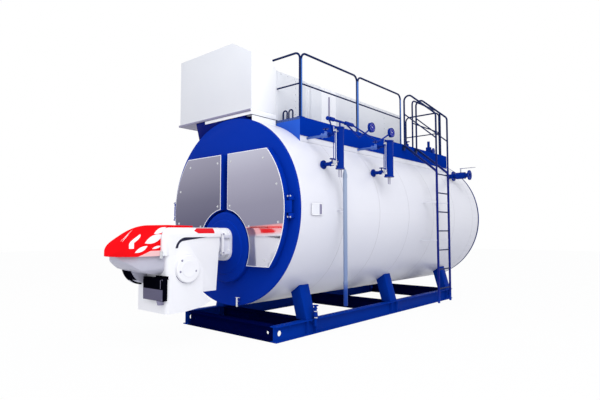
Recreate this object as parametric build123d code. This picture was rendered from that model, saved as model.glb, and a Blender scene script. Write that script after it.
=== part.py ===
from build123d import *
import os
from math import cos, radians, sin, sqrt, tan

# Horizontal fire-tube boiler with burner, economiser, platform and ladder.
# X runs to the boiler's right seen from the burner, Y runs from the burner to the rear, Z up.
# The origin is on the floor, under the middle pair of saddle legs. Sizes are in millimetres.

CONTACT_GAP = 0.3

# Skid and saddle legs
SKID_HEIGHT = 200
SKID_OUTER_HALF_WIDTH = 968
SKID_FLANGE_WIDTH = 110
SKID_FLANGE_THICKNESS = 14
SKID_WEB_THICKNESS = 10
SKID_FRONT_REACH = 50
SKID_REAR_TAIL = 150
STIFFENER_THICKNESS = 12
STIFFENER_OFFSET = 90
PULL_HOLE_RADIUS = 35
PULL_HOLE_FROM_END = 110
LASHING_HOLE_RADIUS = 20
LASHING_HOLE_INSET = 208
LASHING_HOLE_X = SKID_OUTER_HALF_WIDTH - LASHING_HOLE_INSET
LEG_FROM_FRONT = 650
LEG_FROM_REAR = 850
LEG_LENGTH_Y = 200
LEG_WIDTH = 180
LEG_LEAN_DEG = 16
LEG_EDGE = 20
CROSS_BEAM_WIDTH = 120
CROSS_BEAM_WEB = 10

# Boiler shell
SHELL_RADIUS = 1300
SHELL_LENGTH = 5900
SHELL_ABOVE_SKID = 167
SHELL_AXIS_Z = SKID_HEIGHT + SHELL_ABOVE_SKID + SHELL_RADIUS
SHELL_TOP_Z = SHELL_AXIS_Z + SHELL_RADIUS
LEG_PITCH = (SHELL_LENGTH - LEG_FROM_FRONT - LEG_FROM_REAR) / 2
SHELL_FRONT_Y = -LEG_PITCH - LEG_FROM_FRONT
CLADDING_WALL = 80
END_PLATE_THICKNESS = 40
END_PLATE_EDGE = 10

# Front of the shell: hub and tube doors
HUB_DROP = 497
HUB_Z = SHELL_AXIS_Z - HUB_DROP
HUB_RADIUS = 485
HUB_PROUD = 95
HUB_ROUND = 34
HUB_BOSS_RADIUS = 372
HUB_BOSS_PROUD = 15
DOOR_EDGE_MARGIN = 150
DOOR_RADIUS = SHELL_RADIUS - DOOR_EDGE_MARGIN
DOOR_TOP_CUT = 357
DOOR_BOTTOM_CUT = 408
DOOR_TOP_Z = SHELL_AXIS_Z + DOOR_RADIUS - DOOR_TOP_CUT
DOOR_BOTTOM_Z = SHELL_AXIS_Z - DOOR_RADIUS + DOOR_BOTTOM_CUT
DOOR_INNER_X = 66
DOOR_HUB_GAP = 28
DOOR_BODY_DEPTH = 88
DOOR_BACK_GAP = 6
COVER_SHEET = 6
COVER_MARGIN = 6
HINGE_OUTSIDE_DOOR = 50
HINGE_X = DOOR_RADIUS + HINGE_OUTSIDE_DOOR
HINGE_Y_OUT = 52
HINGE_ABOVE_AXIS = 23
HINGE_HEIGHT = 290
HINGE_LOW_Z = SHELL_AXIS_Z + HINGE_ABOVE_AXIS - HINGE_HEIGHT / 2
HINGE_HIGH_Z = HINGE_LOW_Z + HINGE_HEIGHT
HINGE_LEAF = 70
HINGE_KNUCKLE_RADIUS = 24
HINGE_PIN_RADIUS = 12
HINGE_RUNNING_GAP = 0.5
HINGE_SHAFT_OUT = 6

# Burner flange, neck and swing hinge
BURNER_AXIS_Z = HUB_Z + 40
BURNER_BASE_OUT = HUB_PROUD + HUB_BOSS_PROUD
BURNER_FLANGE_HALF_WIDTH = 195
BURNER_FLANGE_HALF_HEIGHT = 220
BURNER_FLANGE_ROUND = 130
BURNER_FLANGE_THICKNESS = 45
NECK_RADIUS = 185
NECK_LAP = 120
SWING_PIN_RADIUS = 20
SWING_PIN_HEIGHT = 260
SWING_PIN_OUT = 135
SWING_LUG_HEIGHT = 40
SWING_LUG_WIDTH = 30

# Burner housing
BURNER_HALF_WIDTH = 320
BURNER_ROOF_Z = HUB_Z + 262
BURNER_BOTTOM_Z = HUB_Z - 740
BURNER_FRONT_OUT = 1200
BURNER_BACK_OUT = 400
BURNER_BACK_LEAN = 60
BURNER_CORNER = 45
BURNER_SHOULDER = 80
COLLAR_DEPTH = 80
COLLAR_OUT = BURNER_FRONT_OUT + COLLAR_DEPTH
COLLAR_ROUND = 130
FOOT_TOP_Z = HUB_Z - 530
FOOT_STEP_OUT = 680
FOOT_TOE_OUT = 560
FOOT_TOE_Z = HUB_Z - 650
FOOT_HEEL_OUT = 700
FOOT_HEEL_Z = HUB_Z - 710
FOOT_SOLE_OUT = 960
POCKET_FRONT_OUT = 1090
POCKET_TOP_Z = HUB_Z + 145
POCKET_LOW_Z = HUB_Z - 60
POCKET_DEPTH = 22
POCKET_ROUND = 150

# Burner hood, intake pan and fan drum
HOOD_TIP_OUT = 1760
HOOD_LOW_Z = HUB_Z - 65
HOOD_RIM = 8
HOOD_LIP = 30
HOOD_BROW_OUT = 1500
HOOD_BROW_Z = HUB_Z + 142
HOOD_CREST_OUT = 1120
HOOD_TOP_Z = HUB_Z + 292
HOOD_SIDE_STEP = 15
HOOD_HALF_WIDTH = BURNER_HALF_WIDTH - HOOD_SIDE_STEP
HOOD_ROUND = 130
HOOD_CROWN = 4
HOOD_FLAP_INSET = 105
HOOD_TAIL_OUT = 760
HOOD_TAIL_DROP = 8
TRAY_DEPTH = 225
TRAY_SETBACK = 60
TRAY_SIDE_MARGIN = 40
TRAY_ROUND = 110
TRAY_SLOPE = ((0.08, 0.22), (0.4, 0.69), (0.68, 0.91))
DRUM_RADIUS = 235
DRUM_OUT = 1190
DRUM_Z = HUB_Z - 175
DRUM_LAP = 60
DRUM_LEFT_MARGIN = 58
DRUM_LEFT_X = DRUM_LEFT_MARGIN - BURNER_HALF_WIDTH
DRUM_BOX_GAP = 10
DRUM_RIM_WIDTH = 45
DRUM_RIM_PROUD = 22

# Burner control box and side cover
CONTROL_BOX_LEFT_X = -85
CONTROL_BOX_OVERHANG = 20
CONTROL_BOX_RIGHT_X = BURNER_HALF_WIDTH + CONTROL_BOX_OVERHANG
CONTROL_BOX_DEPTH = 62
CONTROL_BOX_BELOW_HUB = 585
CONTROL_BOX_LOW_Z = HUB_Z - CONTROL_BOX_BELOW_HUB
CONTROL_BOX_HEIGHT = 262
CONTROL_BOX_EDGE = 12
MOTOR_COVER_RADIUS = 168
MOTOR_COVER_DEPTH = 40
MOTOR_COVER_EDGE = 16
MOTOR_COVER_Z = HUB_Z - 230
MOTOR_COVER_OUT = 920
MOTOR_BOSS_MARGIN = 28

# Economiser, smoke hood and flue duct
ECO_RIGHT_X = 440
ECO_SIDE_MARGIN = 100
ECO_LEFT_X = ECO_SIDE_MARGIN - SHELL_RADIUS
ECO_ABOVE_SHELL = 8
ECO_BASE_Z = SHELL_TOP_Z + ECO_ABOVE_SHELL
ECO_HEIGHT = 725
ECO_TOP_Z = ECO_BASE_Z + ECO_HEIGHT
ECO_START = 480
ECO_FROM_REAR = 1830
ECO_END = SHELL_LENGTH - ECO_FROM_REAR
ECO_JOINT_START = 1130
ECO_JOINT_WIDTH = 150
ECO_JOINT_RECESS = 10
ECO_BAR_RADIUS = 22
ECO_BAR_MARGIN = 120
ECO_SADDLE_THICKNESS = 12
ECO_SADDLE_MARGIN = 60
ECO_SADDLE_INSET = 400
HOOD_PAN_HEIGHT = 45
HOOD_PAN_LEFT_X = -570
HOOD_LIP_HEIGHT = 30
HOOD_LIP_PROUD = 15
SMOKE_HOOD_HEIGHT = 1010
SMOKE_HOOD_ROOF_DEPTH = 250
SMOKE_HOOD_SHOULDER_WIDTH = 410
SMOKE_HOOD_SHOULDER_DROP = 220
FLUE_LEFT_TOP_X = -790
FLUE_LEFT_LOW_X = -680
FLUE_RIGHT_X = 300
FLUE_DEPTH = 430
FLUE_SINK = 100

# Walkway along the economiser
DECK_BELOW_SHELL_TOP = 12
DECK_TOP_Z = SHELL_TOP_Z - DECK_BELOW_SHELL_TOP
DECK_THICKNESS = 30
DECK_SIDE_MARGIN = 400
DECK_OUTER_X = SHELL_RADIUS - DECK_SIDE_MARGIN
DECK_START = 485
DECK_FROM_REAR = 700
DECK_END = SHELL_LENGTH - DECK_FROM_REAR
FASCIA_THICKNESS = 12
FASCIA_GAP = 84
BRACKET_COUNT = 5
BRACKET_THICKNESS = 14

# Ladder
LADDER_STAND_OFF = 240
LADDER_X = SHELL_RADIUS + LADDER_STAND_OFF
LADDER_WIDTH = 460
LADDER_FROM_REAR = 2110
LADDER_RIGHT = SHELL_LENGTH - LADDER_FROM_REAR
LADDER_LEFT = LADDER_RIGHT - LADDER_WIDTH
LADDER_FOOT_Z = 170
LADDER_BEND_DROP = 535
LADDER_BEND_Z = DECK_TOP_Z - LADDER_BEND_DROP
LADDER_STRINGER_RADIUS = 20
LADDER_BEND_RADIUS = 60
RUNG_RADIUS = 11
RUNG_FIRST_Z = 405
RUNG_PITCH = 328
RUNG_BELOW_BEND = 45
RUNG_COUNT = int((LADDER_BEND_Z - RUNG_BELOW_BEND - RUNG_FIRST_Z) / RUNG_PITCH) + 1
LADDER_TIE_RUNGS = (2.5, 4.5)
LADDER_TIE_WIDTH = 40
LADDER_TIE_THICKNESS = 10
GUARD_STAND_OFF = 35
GUARD_X = DECK_OUTER_X + GUARD_STAND_OFF
GUARD_RADIUS = 16
GUARD_BEND = 90
GUARD_HEIGHT = 990
GUARD_OUTER_HEIGHT = 475
GUARD_MID_DROP = 430
GUARD_FOOT_DEPTH = 25
GUARD_PLATE_HEIGHT = 80
GUARD_PLATE_WIDTH = 60

# Rails
RAIL_FROM_EDGE = 28
RAIL_X = DECK_OUTER_X - RAIL_FROM_EDGE
POST_RADIUS = 15
POST_LAP = 13
RAIL_RADIUS = 11
RAIL_HEIGHT = 915
RAIL_MID_HEIGHT = 475
RAIL_TOP_Z = DECK_TOP_Z + RAIL_HEIGHT
RAIL_MID_Z = DECK_TOP_Z + RAIL_MID_HEIGHT
RAIL_BEND = 90
FRONT_POST = 520
GATE_MARGIN = 30
LAST_POST = LADDER_LEFT - GATE_MARGIN
MIDDLE_POST = (FRONT_POST + LAST_POST) / 2
REAR_FIRST_POST = LADDER_RIGHT - GATE_MARGIN
REAR_POST_FROM_DECK_END = 220
REAR_LAST_POST = DECK_END - REAR_POST_FROM_DECK_END
FRONT_RAIL_END_X = 270
REAR_RAIL_END_X = 80

# Water level columns
COLUMN_STAND_OFF = 150
COLUMN_X = SHELL_RADIUS + COLUMN_STAND_OFF
COLUMN_STATIONS = (640, 1885)
COLUMN_RADII = (52, 66)
COLUMN_HEIGHT = 555
COLUMN_BELOW_SHELL_TOP = 217
COLUMN_HIGH_Z = SHELL_TOP_Z - COLUMN_BELOW_SHELL_TOP
COLUMN_LOW_Z = COLUMN_HIGH_Z - COLUMN_HEIGHT
COLUMN_CAP = 18
COLUMN_CAP_LIP = 8
LOWER_NOZZLE_Z = COLUMN_LOW_Z + 85
UPPER_NOZZLE_Z = COLUMN_HIGH_Z - 75
NOZZLE_PIPE_RADIUS = 17
NOZZLE_ROOT = 30
NOZZLE_FLANGE_RADIUS = 50
NOZZLE_FLANGE_THICKNESS = 14
NOZZLE_FLANGE_GAP = 25
VALVE_BODY_RADIUS = 34
VALVE_BODY_LENGTH = 110
VALVE_STEM_RADIUS = 8
VALVE_STEM_HEIGHT = 92
VALVE_WHEEL_RADIUS = 40
VALVE_WHEEL_THICKNESS = 10
UPPER_VALVE_X = COLUMN_X - 235
LOWER_VALVE_X = COLUMN_X - 130
LOWER_VALVE_SHARE = 0.75
GLASS_OFFSET = 95
GLASS_RADIUS = 11
GLASS_LOW_Z = LOWER_NOZZLE_Z + 10
GLASS_HIGH_Z = UPPER_NOZZLE_Z + 15
GLASS_COCK_RADIUS = 17
GLASS_ARM_RADIUS = 13
GLASS_COCK_HALF = 22
STUB_RADIUS = 7
STUB_LENGTH = 105
STUB_SPREAD = 24

# Pressure pipework
HEADER_RADIUS = 16
HEADER_ABOVE_COLUMN = 75
HEADER_Z = COLUMN_HIGH_Z + HEADER_ABOVE_COLUMN
HEADER_START = 380
HEADER_END = 940
HEADER_KNOB_RADIUS = 27
SIPHON_RADIUS = 11
SIPHON_DROP = 135
SIPHON_LOW_Z = HEADER_Z - SIPHON_DROP
SIPHON_SPACING = 28
SIPHON_STARTS = (760, 940)
SIPHON_STATIONS = (1140, 1580)
SIPHON_ENDS = (1370, 1850)
STRUT_TOP = 410
STRUT_FOOT_X = COLUMN_X - 110
GAUGE_STATIONS = (1450, 1960)
GAUGE_Z = HEADER_Z + 60
GAUGE_RADIUS = 72
GAUGE_DEPTH = 42
GAUGE_RIM = 8
GAUGE_DIAL_DEPTH = 6

# Drain pipe and rear nozzle
DRAIN_STAND_OFF = 120
DRAIN_X = SHELL_RADIUS + DRAIN_STAND_OFF
DRAIN_STATION = 790
DRAIN_RADIUS = 28
DRAIN_LOW_Z = 410
DRAIN_HIGH_Z = COLUMN_LOW_Z - 45
DRAIN_CLAMP_HALF = 15
DRAIN_CLAMP_THICKNESS = 10
REAR_NOZZLE_FROM_REAR = 850
REAR_NOZZLE_STATION = SHELL_LENGTH - REAR_NOZZLE_FROM_REAR
REAR_NOZZLE_Z = SHELL_TOP_Z - 457
REAR_NOZZLE_RADIUS = 45
REAR_VALVE_RADIUS = 67
REAR_VALVE_LENGTH = 180
REAR_FLANGE_RADIUS = 100
REAR_FLANGE_THICKNESS = 22
REAR_FLANGE_STAND_OFF = 130
REAR_FLANGE_X = SHELL_RADIUS + REAR_FLANGE_STAND_OFF
REAR_INNER_FLANGE_GAP = 110
REAR_BOLT_CIRCLE_RADIUS = 80
REAR_BOLT_HOLE_RADIUS = 9
REAR_BOLT_COUNT = 8
REAR_BORE_RADIUS = 40
REAR_BORE_DEPTH = 82
LEVER_STEM_RADIUS = 16
LEVER_STEM_TOP = 140
LEVER_LENGTH = 300
LEVER_HALF_WIDTH = 14
LEVER_THICKNESS = 10

# Fittings on top of the shell
SAFETY_VALVE_X = 450
SAFETY_VALVE_FROM_REAR = 600
SAFETY_VALVE_RADIUS = 60
SAFETY_STEM_RADIUS = 32
SAFETY_FLANGE_RADIUS = 78
SAFETY_OUTLET_RADIUS = 38
SAFETY_OUTLET_REACH = 120
SAFETY_OUTLET_RISE = 240
SAFETY_NECK_TOP = 200
SAFETY_FLANGE_LOW = 60
SAFETY_FLANGE_TOP = 82
SAFETY_BODY_LOW = 190
SAFETY_BODY_TOP = 330
SAFETY_CAP_LOW = 320
SAFETY_CAP_TOP = 460
VENT_VALVE_X = 200
VENT_VALVE_FROM_REAR = 1100
VENT_STEM_RADIUS = 18
VENT_WHEEL_RADIUS = 48
VENT_WHEEL_THICKNESS = 12
VENT_NECK_TOP = 230
VENT_BODY_LOW = 225
VENT_BODY_TOP = 300
VENT_STEM_TOP = 357
STEAM_STUB_X = 100
STEAM_STUB_FROM_REAR = 300
STEAM_STUB_RADIUS = 85
STEAM_STUB_EDGE = 15
STEAM_STUB_NECK_TOP = 180
STEAM_STUB_CAP_TOP = 215

# Small fittings
NAME_PLATE_STATION = 330
NAME_PLATE_HALF_LENGTH = 110
NAME_PLATE_HALF_HEIGHT = 75
NAME_PLATE_GAP = 12
NAME_PLATE_SHEET = 4
NAME_PLATE_SPACER_RADIUS = 8
NAME_PLATE_SPACER_INSET = 20
LIFTING_EYE_X = ECO_RIGHT_X + 30
LIFTING_EYE_PITCH = 110
LIFTING_EYE_WIDTH = 75
LIFTING_EYE_HEIGHT = 160
LIFTING_EYE_RADIUS = 11
LIFTING_EYE_STATION = 600
TAP_X = 240
TAP_RISE = 70
TAP_REACH = 55
TAP_PIPE_RADIUS = 16
TAP_SPOUT_RADIUS = 13
TAP_SPOUT_HALF = 80
TAP_LEVER_LENGTH = 70
SKID_DRAIN_STATION = 690
SKID_DRAIN_RADIUS = 20
SKID_DRAIN_LOW_Z = 110
SKID_DRAIN_HEIGHT = 280
SKID_DRAIN_ARM_RADIUS = 12
SKID_DRAIN_ARM_RISE = 40


def station(distance):
    """Y position at a distance behind the front face of the shell."""
    return SHELL_FRONT_Y + distance


def out_front(distance):
    """Y position at a distance in front of the front face of the shell."""
    return SHELL_FRONT_Y - distance


def from_rear(distance):
    """Y position at a distance in front of the rear face of the shell."""
    return station(SHELL_LENGTH - distance)


def shell_surface_z(x):
    """Height of the upper shell surface over a given x."""
    return SHELL_AXIS_Z + sqrt(SHELL_RADIUS ** 2 - x ** 2)


def shell_surface_x(z):
    """Half width of the shell at a given height."""
    return sqrt(SHELL_RADIUS ** 2 - (z - SHELL_AXIS_Z) ** 2)


def block(x, y, z):
    """Box between three pairs of limits."""
    centre = ((x[0] + x[1]) / 2, (y[0] + y[1]) / 2, (z[0] + z[1]) / 2)
    return Pos(*centre) * Box(abs(x[1] - x[0]), abs(y[1] - y[0]), abs(z[1] - z[0]))


def bar_x(radius, x, y, z):
    """Round bar along X between two x limits."""
    return Pos((x[0] + x[1]) / 2, y, z) * Rot(0, 90, 0) * Cylinder(radius, abs(x[1] - x[0]))


def bar_y(radius, x, y, z):
    """Round bar along Y between two y limits."""
    return Pos(x, (y[0] + y[1]) / 2, z) * Rot(90, 0, 0) * Cylinder(radius, abs(y[1] - y[0]))


def bar_z(radius, x, y, z):
    """Round bar along Z between two z limits."""
    return Pos(x, y, (z[0] + z[1]) / 2) * Cylinder(radius, abs(z[1] - z[0]))


def profile_along_y(points, y):
    """Prism of an outline in x and z, between two y limits."""
    outline = Polyline(*[(px, y[0], pz) for px, pz in points], close=True)
    return extrude(make_face(outline), amount=y[1] - y[0], dir=(0, 1, 0))


def profile_along_x(points, x):
    """Prism of an outline in y and z, between two x limits."""
    outline = Polyline(*[(x[0], py, pz) for py, pz in points], close=True)
    return extrude(make_face(outline), amount=x[1] - x[0], dir=(1, 0, 0))


def bent_pipe(points, radius, bend):
    """Round pipe along straight runs with rounded corners."""
    path = FilletPolyline(*points, radius=bend)
    section = Plane(origin=path @ 0, z_dir=path % 0) * Circle(radius)
    return sweep(section, path=path)


def straight_pipe(start, end, radius):
    """Round bar between two points."""
    path = Line(start, end)
    section = Plane(origin=start, z_dir=path % 0) * Circle(radius)
    return extrude(section, amount=path.length)


def jointed_pipe(points, radius):
    """Round pipe along straight runs with a ball at each inner corner."""
    pipe = straight_pipe(points[0], points[1], radius)
    for start, end in zip(points[1:], points[2:]):
        pipe += Pos(*start) * Sphere(radius * 1.25)
        pipe += straight_pipe(start, end, radius)
    return pipe


def shell_envelope():
    """Solid cylinder of the shell's outer shape."""
    return bar_y(SHELL_RADIUS, 0, (station(0), station(SHELL_LENGTH)), SHELL_AXIS_Z)


# Shell

def shell_cladding():
    y = (station(END_PLATE_THICKNESS), from_rear(END_PLATE_THICKNESS))
    outer = bar_y(SHELL_RADIUS, 0, y, SHELL_AXIS_Z)
    inner = bar_y(SHELL_RADIUS - CLADDING_WALL, 0, y, SHELL_AXIS_Z)
    return outer - inner


def end_plate(y, outer_y):
    plate = bar_y(SHELL_RADIUS, 0, y, SHELL_AXIS_Z)
    rim = plate.edges().filter_by(GeomType.CIRCLE).sort_by(Axis.Y)
    edge = rim[0] if outer_y == y[0] else rim[-1]
    return fillet(edge, END_PLATE_EDGE)


def front_plate():
    return end_plate((station(0), station(END_PLATE_THICKNESS)), station(0))


def rear_plate():
    return end_plate((from_rear(END_PLATE_THICKNESS), from_rear(0)), from_rear(0))


def burner_hub():
    """Round pad with a lower boss that carries the burner."""
    pad = bar_y(HUB_RADIUS, 0, (out_front(HUB_PROUD), station(0)), HUB_Z)
    pad = fillet(pad.edges().filter_by(GeomType.CIRCLE).sort_by(Axis.Y)[0], HUB_ROUND)
    boss = bar_y(HUB_BOSS_RADIUS, 0, (out_front(BURNER_BASE_OUT), out_front(HUB_PROUD)), HUB_Z)
    boss = chamfer(boss.edges().filter_by(GeomType.CIRCLE).sort_by(Axis.Y)[0], HUB_BOSS_PROUD * 0.6)
    return pad + boss


# Tube doors

def door_outline(side, y, inset):
    """Half disc door, cut straight at top, bottom and middle and round the hub."""
    disc = bar_y(DOOR_RADIUS - inset, 0, y, SHELL_AXIS_Z)
    inner = DOOR_INNER_X + inset
    limits = (inner, DOOR_RADIUS) if side > 0 else (-DOOR_RADIUS, -inner)
    window = block(limits, y, (DOOR_BOTTOM_Z + inset, DOOR_TOP_Z - inset))
    hub_space = bar_y(HUB_RADIUS + DOOR_HUB_GAP + inset, 0, y, HUB_Z)
    return (disc & window) - hub_space


def door_body(side):
    y = (out_front(DOOR_BACK_GAP + DOOR_BODY_DEPTH), out_front(DOOR_BACK_GAP))
    body = door_outline(side, y, 0)
    lug_z = (HINGE_LOW_Z + HINGE_LEAF, HINGE_HIGH_Z - HINGE_LEAF)
    lug_x = sorted((side * (DOOR_RADIUS - HINGE_LEAF), side * HINGE_X))
    lug_y = (out_front(HINGE_Y_OUT + HINGE_KNUCKLE_RADIUS), out_front(HINGE_Y_OUT - HINGE_PIN_RADIUS))
    knuckle = bar_z(HINGE_KNUCKLE_RADIUS, side * HINGE_X, out_front(HINGE_Y_OUT), lug_z)
    pin_hole = bar_z(HINGE_PIN_RADIUS + HINGE_RUNNING_GAP, side * HINGE_X, out_front(HINGE_Y_OUT), lug_z)
    return body + block(lug_x, lug_y, lug_z) + knuckle - pin_hole


def door_cover(side):
    back = DOOR_BACK_GAP + DOOR_BODY_DEPTH
    return door_outline(side, (out_front(back + COVER_SHEET), out_front(back)), COVER_MARGIN)


def hinge_bracket(side):
    """Block on the front plate with a fixed pin between two ears."""
    pin = bar_z(HINGE_PIN_RADIUS, side * HINGE_X, out_front(HINGE_Y_OUT), (HINGE_LOW_Z, HINGE_HIGH_Z))
    ears = []
    for low, high in (
        (HINGE_LOW_Z, HINGE_LOW_Z + HINGE_LEAF - HINGE_SHAFT_OUT),
        (HINGE_HIGH_Z - HINGE_LEAF + HINGE_SHAFT_OUT, HINGE_HIGH_Z),
    ):
        x = sorted((side * (HINGE_X - HINGE_KNUCKLE_RADIUS), side * (HINGE_X + HINGE_KNUCKLE_RADIUS)))
        foot = block(x, (out_front(HINGE_Y_OUT), station(0)), (low, high))
        ears.append(foot + bar_z(HINGE_KNUCKLE_RADIUS, side * HINGE_X, out_front(HINGE_Y_OUT), (low, high)))
    return ears[0] + ears[1] + pin


# Burner

def burner_flange():
    """Rounded flange with the two lugs and the pin that the burner swings on."""
    face = out_front(BURNER_BASE_OUT + BURNER_FLANGE_THICKNESS)
    x = (-BURNER_FLANGE_HALF_WIDTH, BURNER_FLANGE_HALF_WIDTH)
    z = (BURNER_AXIS_Z - BURNER_FLANGE_HALF_HEIGHT, BURNER_AXIS_Z + BURNER_FLANGE_HALF_HEIGHT)
    plate = block(x, (face, out_front(BURNER_BASE_OUT)), z)
    plate = fillet(plate.edges().filter_by(Axis.Y), BURNER_FLANGE_ROUND)
    pin_x = BURNER_FLANGE_HALF_WIDTH + SWING_PIN_RADIUS
    pin_y = face - SWING_PIN_OUT
    half = SWING_PIN_HEIGHT / 2
    plate += bar_z(SWING_PIN_RADIUS, pin_x, pin_y, (BURNER_AXIS_Z - half, BURNER_AXIS_Z + half))
    for low in (BURNER_AXIS_Z - half, BURNER_AXIS_Z + half - SWING_LUG_HEIGHT):
        lug_x = (pin_x - SWING_PIN_RADIUS - SWING_LUG_WIDTH, pin_x)
        plate += block(lug_x, (pin_y - SWING_PIN_RADIUS, face), (low, low + SWING_LUG_HEIGHT))
    return plate


def housing_pocket():
    """Recess in the right side, open at the rear, with a round front corner and a boss left standing."""
    past_rear = out_front(BURNER_BACK_OUT - BURNER_BACK_LEAN)
    foot_y = out_front(FOOT_STEP_OUT)
    front_y = out_front(POCKET_FRONT_OUT)
    x = (BURNER_HALF_WIDTH - POCKET_DEPTH, BURNER_HALF_WIDTH + POCKET_DEPTH)
    outline = [
        (front_y, POCKET_TOP_Z),
        (past_rear, POCKET_TOP_Z),
        (past_rear, FOOT_TOP_Z),
        (foot_y, FOOT_TOP_Z),
        (foot_y, MOTOR_COVER_Z),
        (front_y, POCKET_LOW_Z),
    ]
    recess = profile_along_x(outline, x)
    corner = recess.edges().filter_by(Axis.X).sort_by(Axis.Z)[-2:].sort_by(Axis.Y)[0]
    boss = bar_x(MOTOR_COVER_RADIUS + MOTOR_BOSS_MARGIN, x, out_front(MOTOR_COVER_OUT), MOTOR_COVER_Z)
    return fillet(corner, POCKET_ROUND) - boss


def burner_housing():
    """Casing with round shoulders, a collar behind the hood, a recessed side, a foot and a neck."""
    back = out_front(BURNER_BACK_OUT)
    front = out_front(BURNER_FRONT_OUT)
    collar = out_front(COLLAR_OUT)
    outline = [
        (collar, BURNER_ROOF_Z),
        (back, BURNER_ROOF_Z),
        (back - BURNER_BACK_LEAN, FOOT_TOP_Z),
        (out_front(FOOT_STEP_OUT), FOOT_TOP_Z),
        (out_front(FOOT_TOE_OUT), FOOT_TOE_Z),
        (out_front(FOOT_HEEL_OUT), FOOT_HEEL_Z),
        (out_front(FOOT_SOLE_OUT), BURNER_BOTTOM_Z),
        (front, BURNER_BOTTOM_Z),
        (front, HOOD_LOW_Z),
        (collar, HOOD_LOW_Z),
    ]
    body = profile_along_x(outline, (-BURNER_HALF_WIDTH, BURNER_HALF_WIDTH))
    collar_edge = body.edges().filter_by(Axis.X).sort_by(Axis.Z)[-2:].sort_by(Axis.Y)[0]
    body = fillet(collar_edge, COLLAR_ROUND)
    body = fillet(body.edges().filter_by(Axis.Z).sort_by(Axis.Z)[:2], BURNER_CORNER)
    body = fillet(body.edges().filter_by(Axis.Z).sort_by(Axis.Z)[-2:], BURNER_SHOULDER)
    neck_y = (back - NECK_LAP, out_front(BURNER_BASE_OUT + BURNER_FLANGE_THICKNESS))
    neck = bar_y(NECK_RADIUS, 0, neck_y, BURNER_AXIS_Z)
    return body - housing_pocket() + neck


def nose_plan(half, tip_y, back_y, z):
    """Prism with a half round front end."""
    middle = (z[0] + z[1]) / 2
    nose = Pos(0, tip_y + half, middle) * Cylinder(half, z[1] - z[0])
    return nose + block((-half, half), (tip_y + half, back_y), z)


def hood_outline():
    """Side outline of the hood: a long sloping nose, and a flap on the housing's roof."""
    collar = out_front(COLLAR_OUT)
    tip_y = out_front(HOOD_TIP_OUT)
    tail_y = out_front(HOOD_TAIL_OUT)
    inner = COLLAR_ROUND * (1 - sqrt(0.5))
    tip = (0, tip_y, HOOD_LOW_Z + HOOD_RIM)
    brow = (0, out_front(HOOD_BROW_OUT), HOOD_BROW_Z)
    crest = (0, out_front(HOOD_CREST_OUT), HOOD_TOP_Z)
    roof_start = (0, collar + COLLAR_ROUND, BURNER_ROOF_Z)
    collar_top = (0, collar, BURNER_ROOF_Z - COLLAR_ROUND)
    top = Spline(tip, brow, crest, tangents=[(0, 0.6, 1), (0, 1, 0)])
    flap = Polyline(
        crest,
        (0, tail_y, HOOD_TOP_Z - HOOD_TAIL_DROP),
        (0, tail_y, BURNER_ROOF_Z),
        roof_start,
    )
    seat = ThreePointArc(roof_start, (0, collar + inner, BURNER_ROOF_Z - inner), collar_top)
    under = Polyline(collar_top, (0, collar, HOOD_LOW_Z), (0, tip_y, HOOD_LOW_Z), tip)
    return make_face([top, flap, seat, under])


def burner_hood():
    """Hood over the fan: a pointed side outline, a round nose in plan and rounded shoulders."""
    side = extrude(hood_outline(), amount=HOOD_HALF_WIDTH + HOOD_LIP, dir=(1, 0, 0), both=True)
    z = (HOOD_LOW_Z - HOOD_LIP, HOOD_TOP_Z + HOOD_CROWN)
    y = (out_front(HOOD_TIP_OUT + HOOD_LIP), out_front(HOOD_TAIL_OUT - HOOD_LIP))
    arch = block((-HOOD_HALF_WIDTH, HOOD_HALF_WIDTH), y, z)
    arch = fillet(arch.edges().filter_by(Axis.Y).sort_by(Axis.Z)[-2:], HOOD_ROUND)
    full_width_y = out_front(COLLAR_OUT - COLLAR_ROUND)
    flap_half = HOOD_HALF_WIDTH - HOOD_FLAP_INSET
    plan = nose_plan(HOOD_HALF_WIDTH, out_front(HOOD_TIP_OUT), full_width_y, z)
    plan += block((-flap_half, flap_half), (full_width_y - HOOD_LIP, y[1]), z)
    return side & arch & plan


def burner_tray():
    """Funnel-shaped intake pan under the hood, with the rimmed fan drum at its left."""
    y_front = out_front(HOOD_TIP_OUT - TRAY_SETBACK)
    y_back = out_front(BURNER_FRONT_OUT)
    half = HOOD_HALF_WIDTH - TRAY_SIDE_MARGIN
    low = HOOD_LOW_Z - TRAY_DEPTH
    slope = [
        (y_front + (y_back - y_front) * along, HOOD_LOW_Z - TRAY_DEPTH * down) for along, down in TRAY_SLOPE
    ]
    outline = [(y_front, HOOD_LOW_Z), *slope, (y_back, low), (y_back, HOOD_LOW_Z)]
    pan = profile_along_x(outline, (-half - HOOD_LIP, half + HOOD_LIP))
    past_back = y_back + HOOD_LIP
    above = HOOD_LOW_Z + HOOD_LIP
    keel = block((-half, half), (y_front - HOOD_LIP, past_back), (low - HOOD_CROWN, above))
    keel = fillet(keel.edges().filter_by(Axis.Y).sort_by(Axis.Z)[:2], TRAY_ROUND)
    pan = pan & keel & nose_plan(half, y_front, past_back, (low - HOOD_LIP, above))
    drum_x = (DRUM_LEFT_X, CONTROL_BOX_LEFT_X - DRUM_BOX_GAP)
    rim_radius = DRUM_RADIUS + DRUM_RIM_PROUD
    drum = bar_x(DRUM_RADIUS, drum_x, out_front(DRUM_OUT), DRUM_Z)
    drum += bar_x(rim_radius, (DRUM_LEFT_X, DRUM_LEFT_X + DRUM_RIM_WIDTH), out_front(DRUM_OUT), DRUM_Z)
    room_y = (out_front(DRUM_OUT + rim_radius + HOOD_LIP), y_back)
    room = block((-half, half), room_y, (DRUM_Z - rim_radius - HOOD_LIP, HOOD_LOW_Z - DRUM_LAP))
    return pan + (drum & room)


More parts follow.
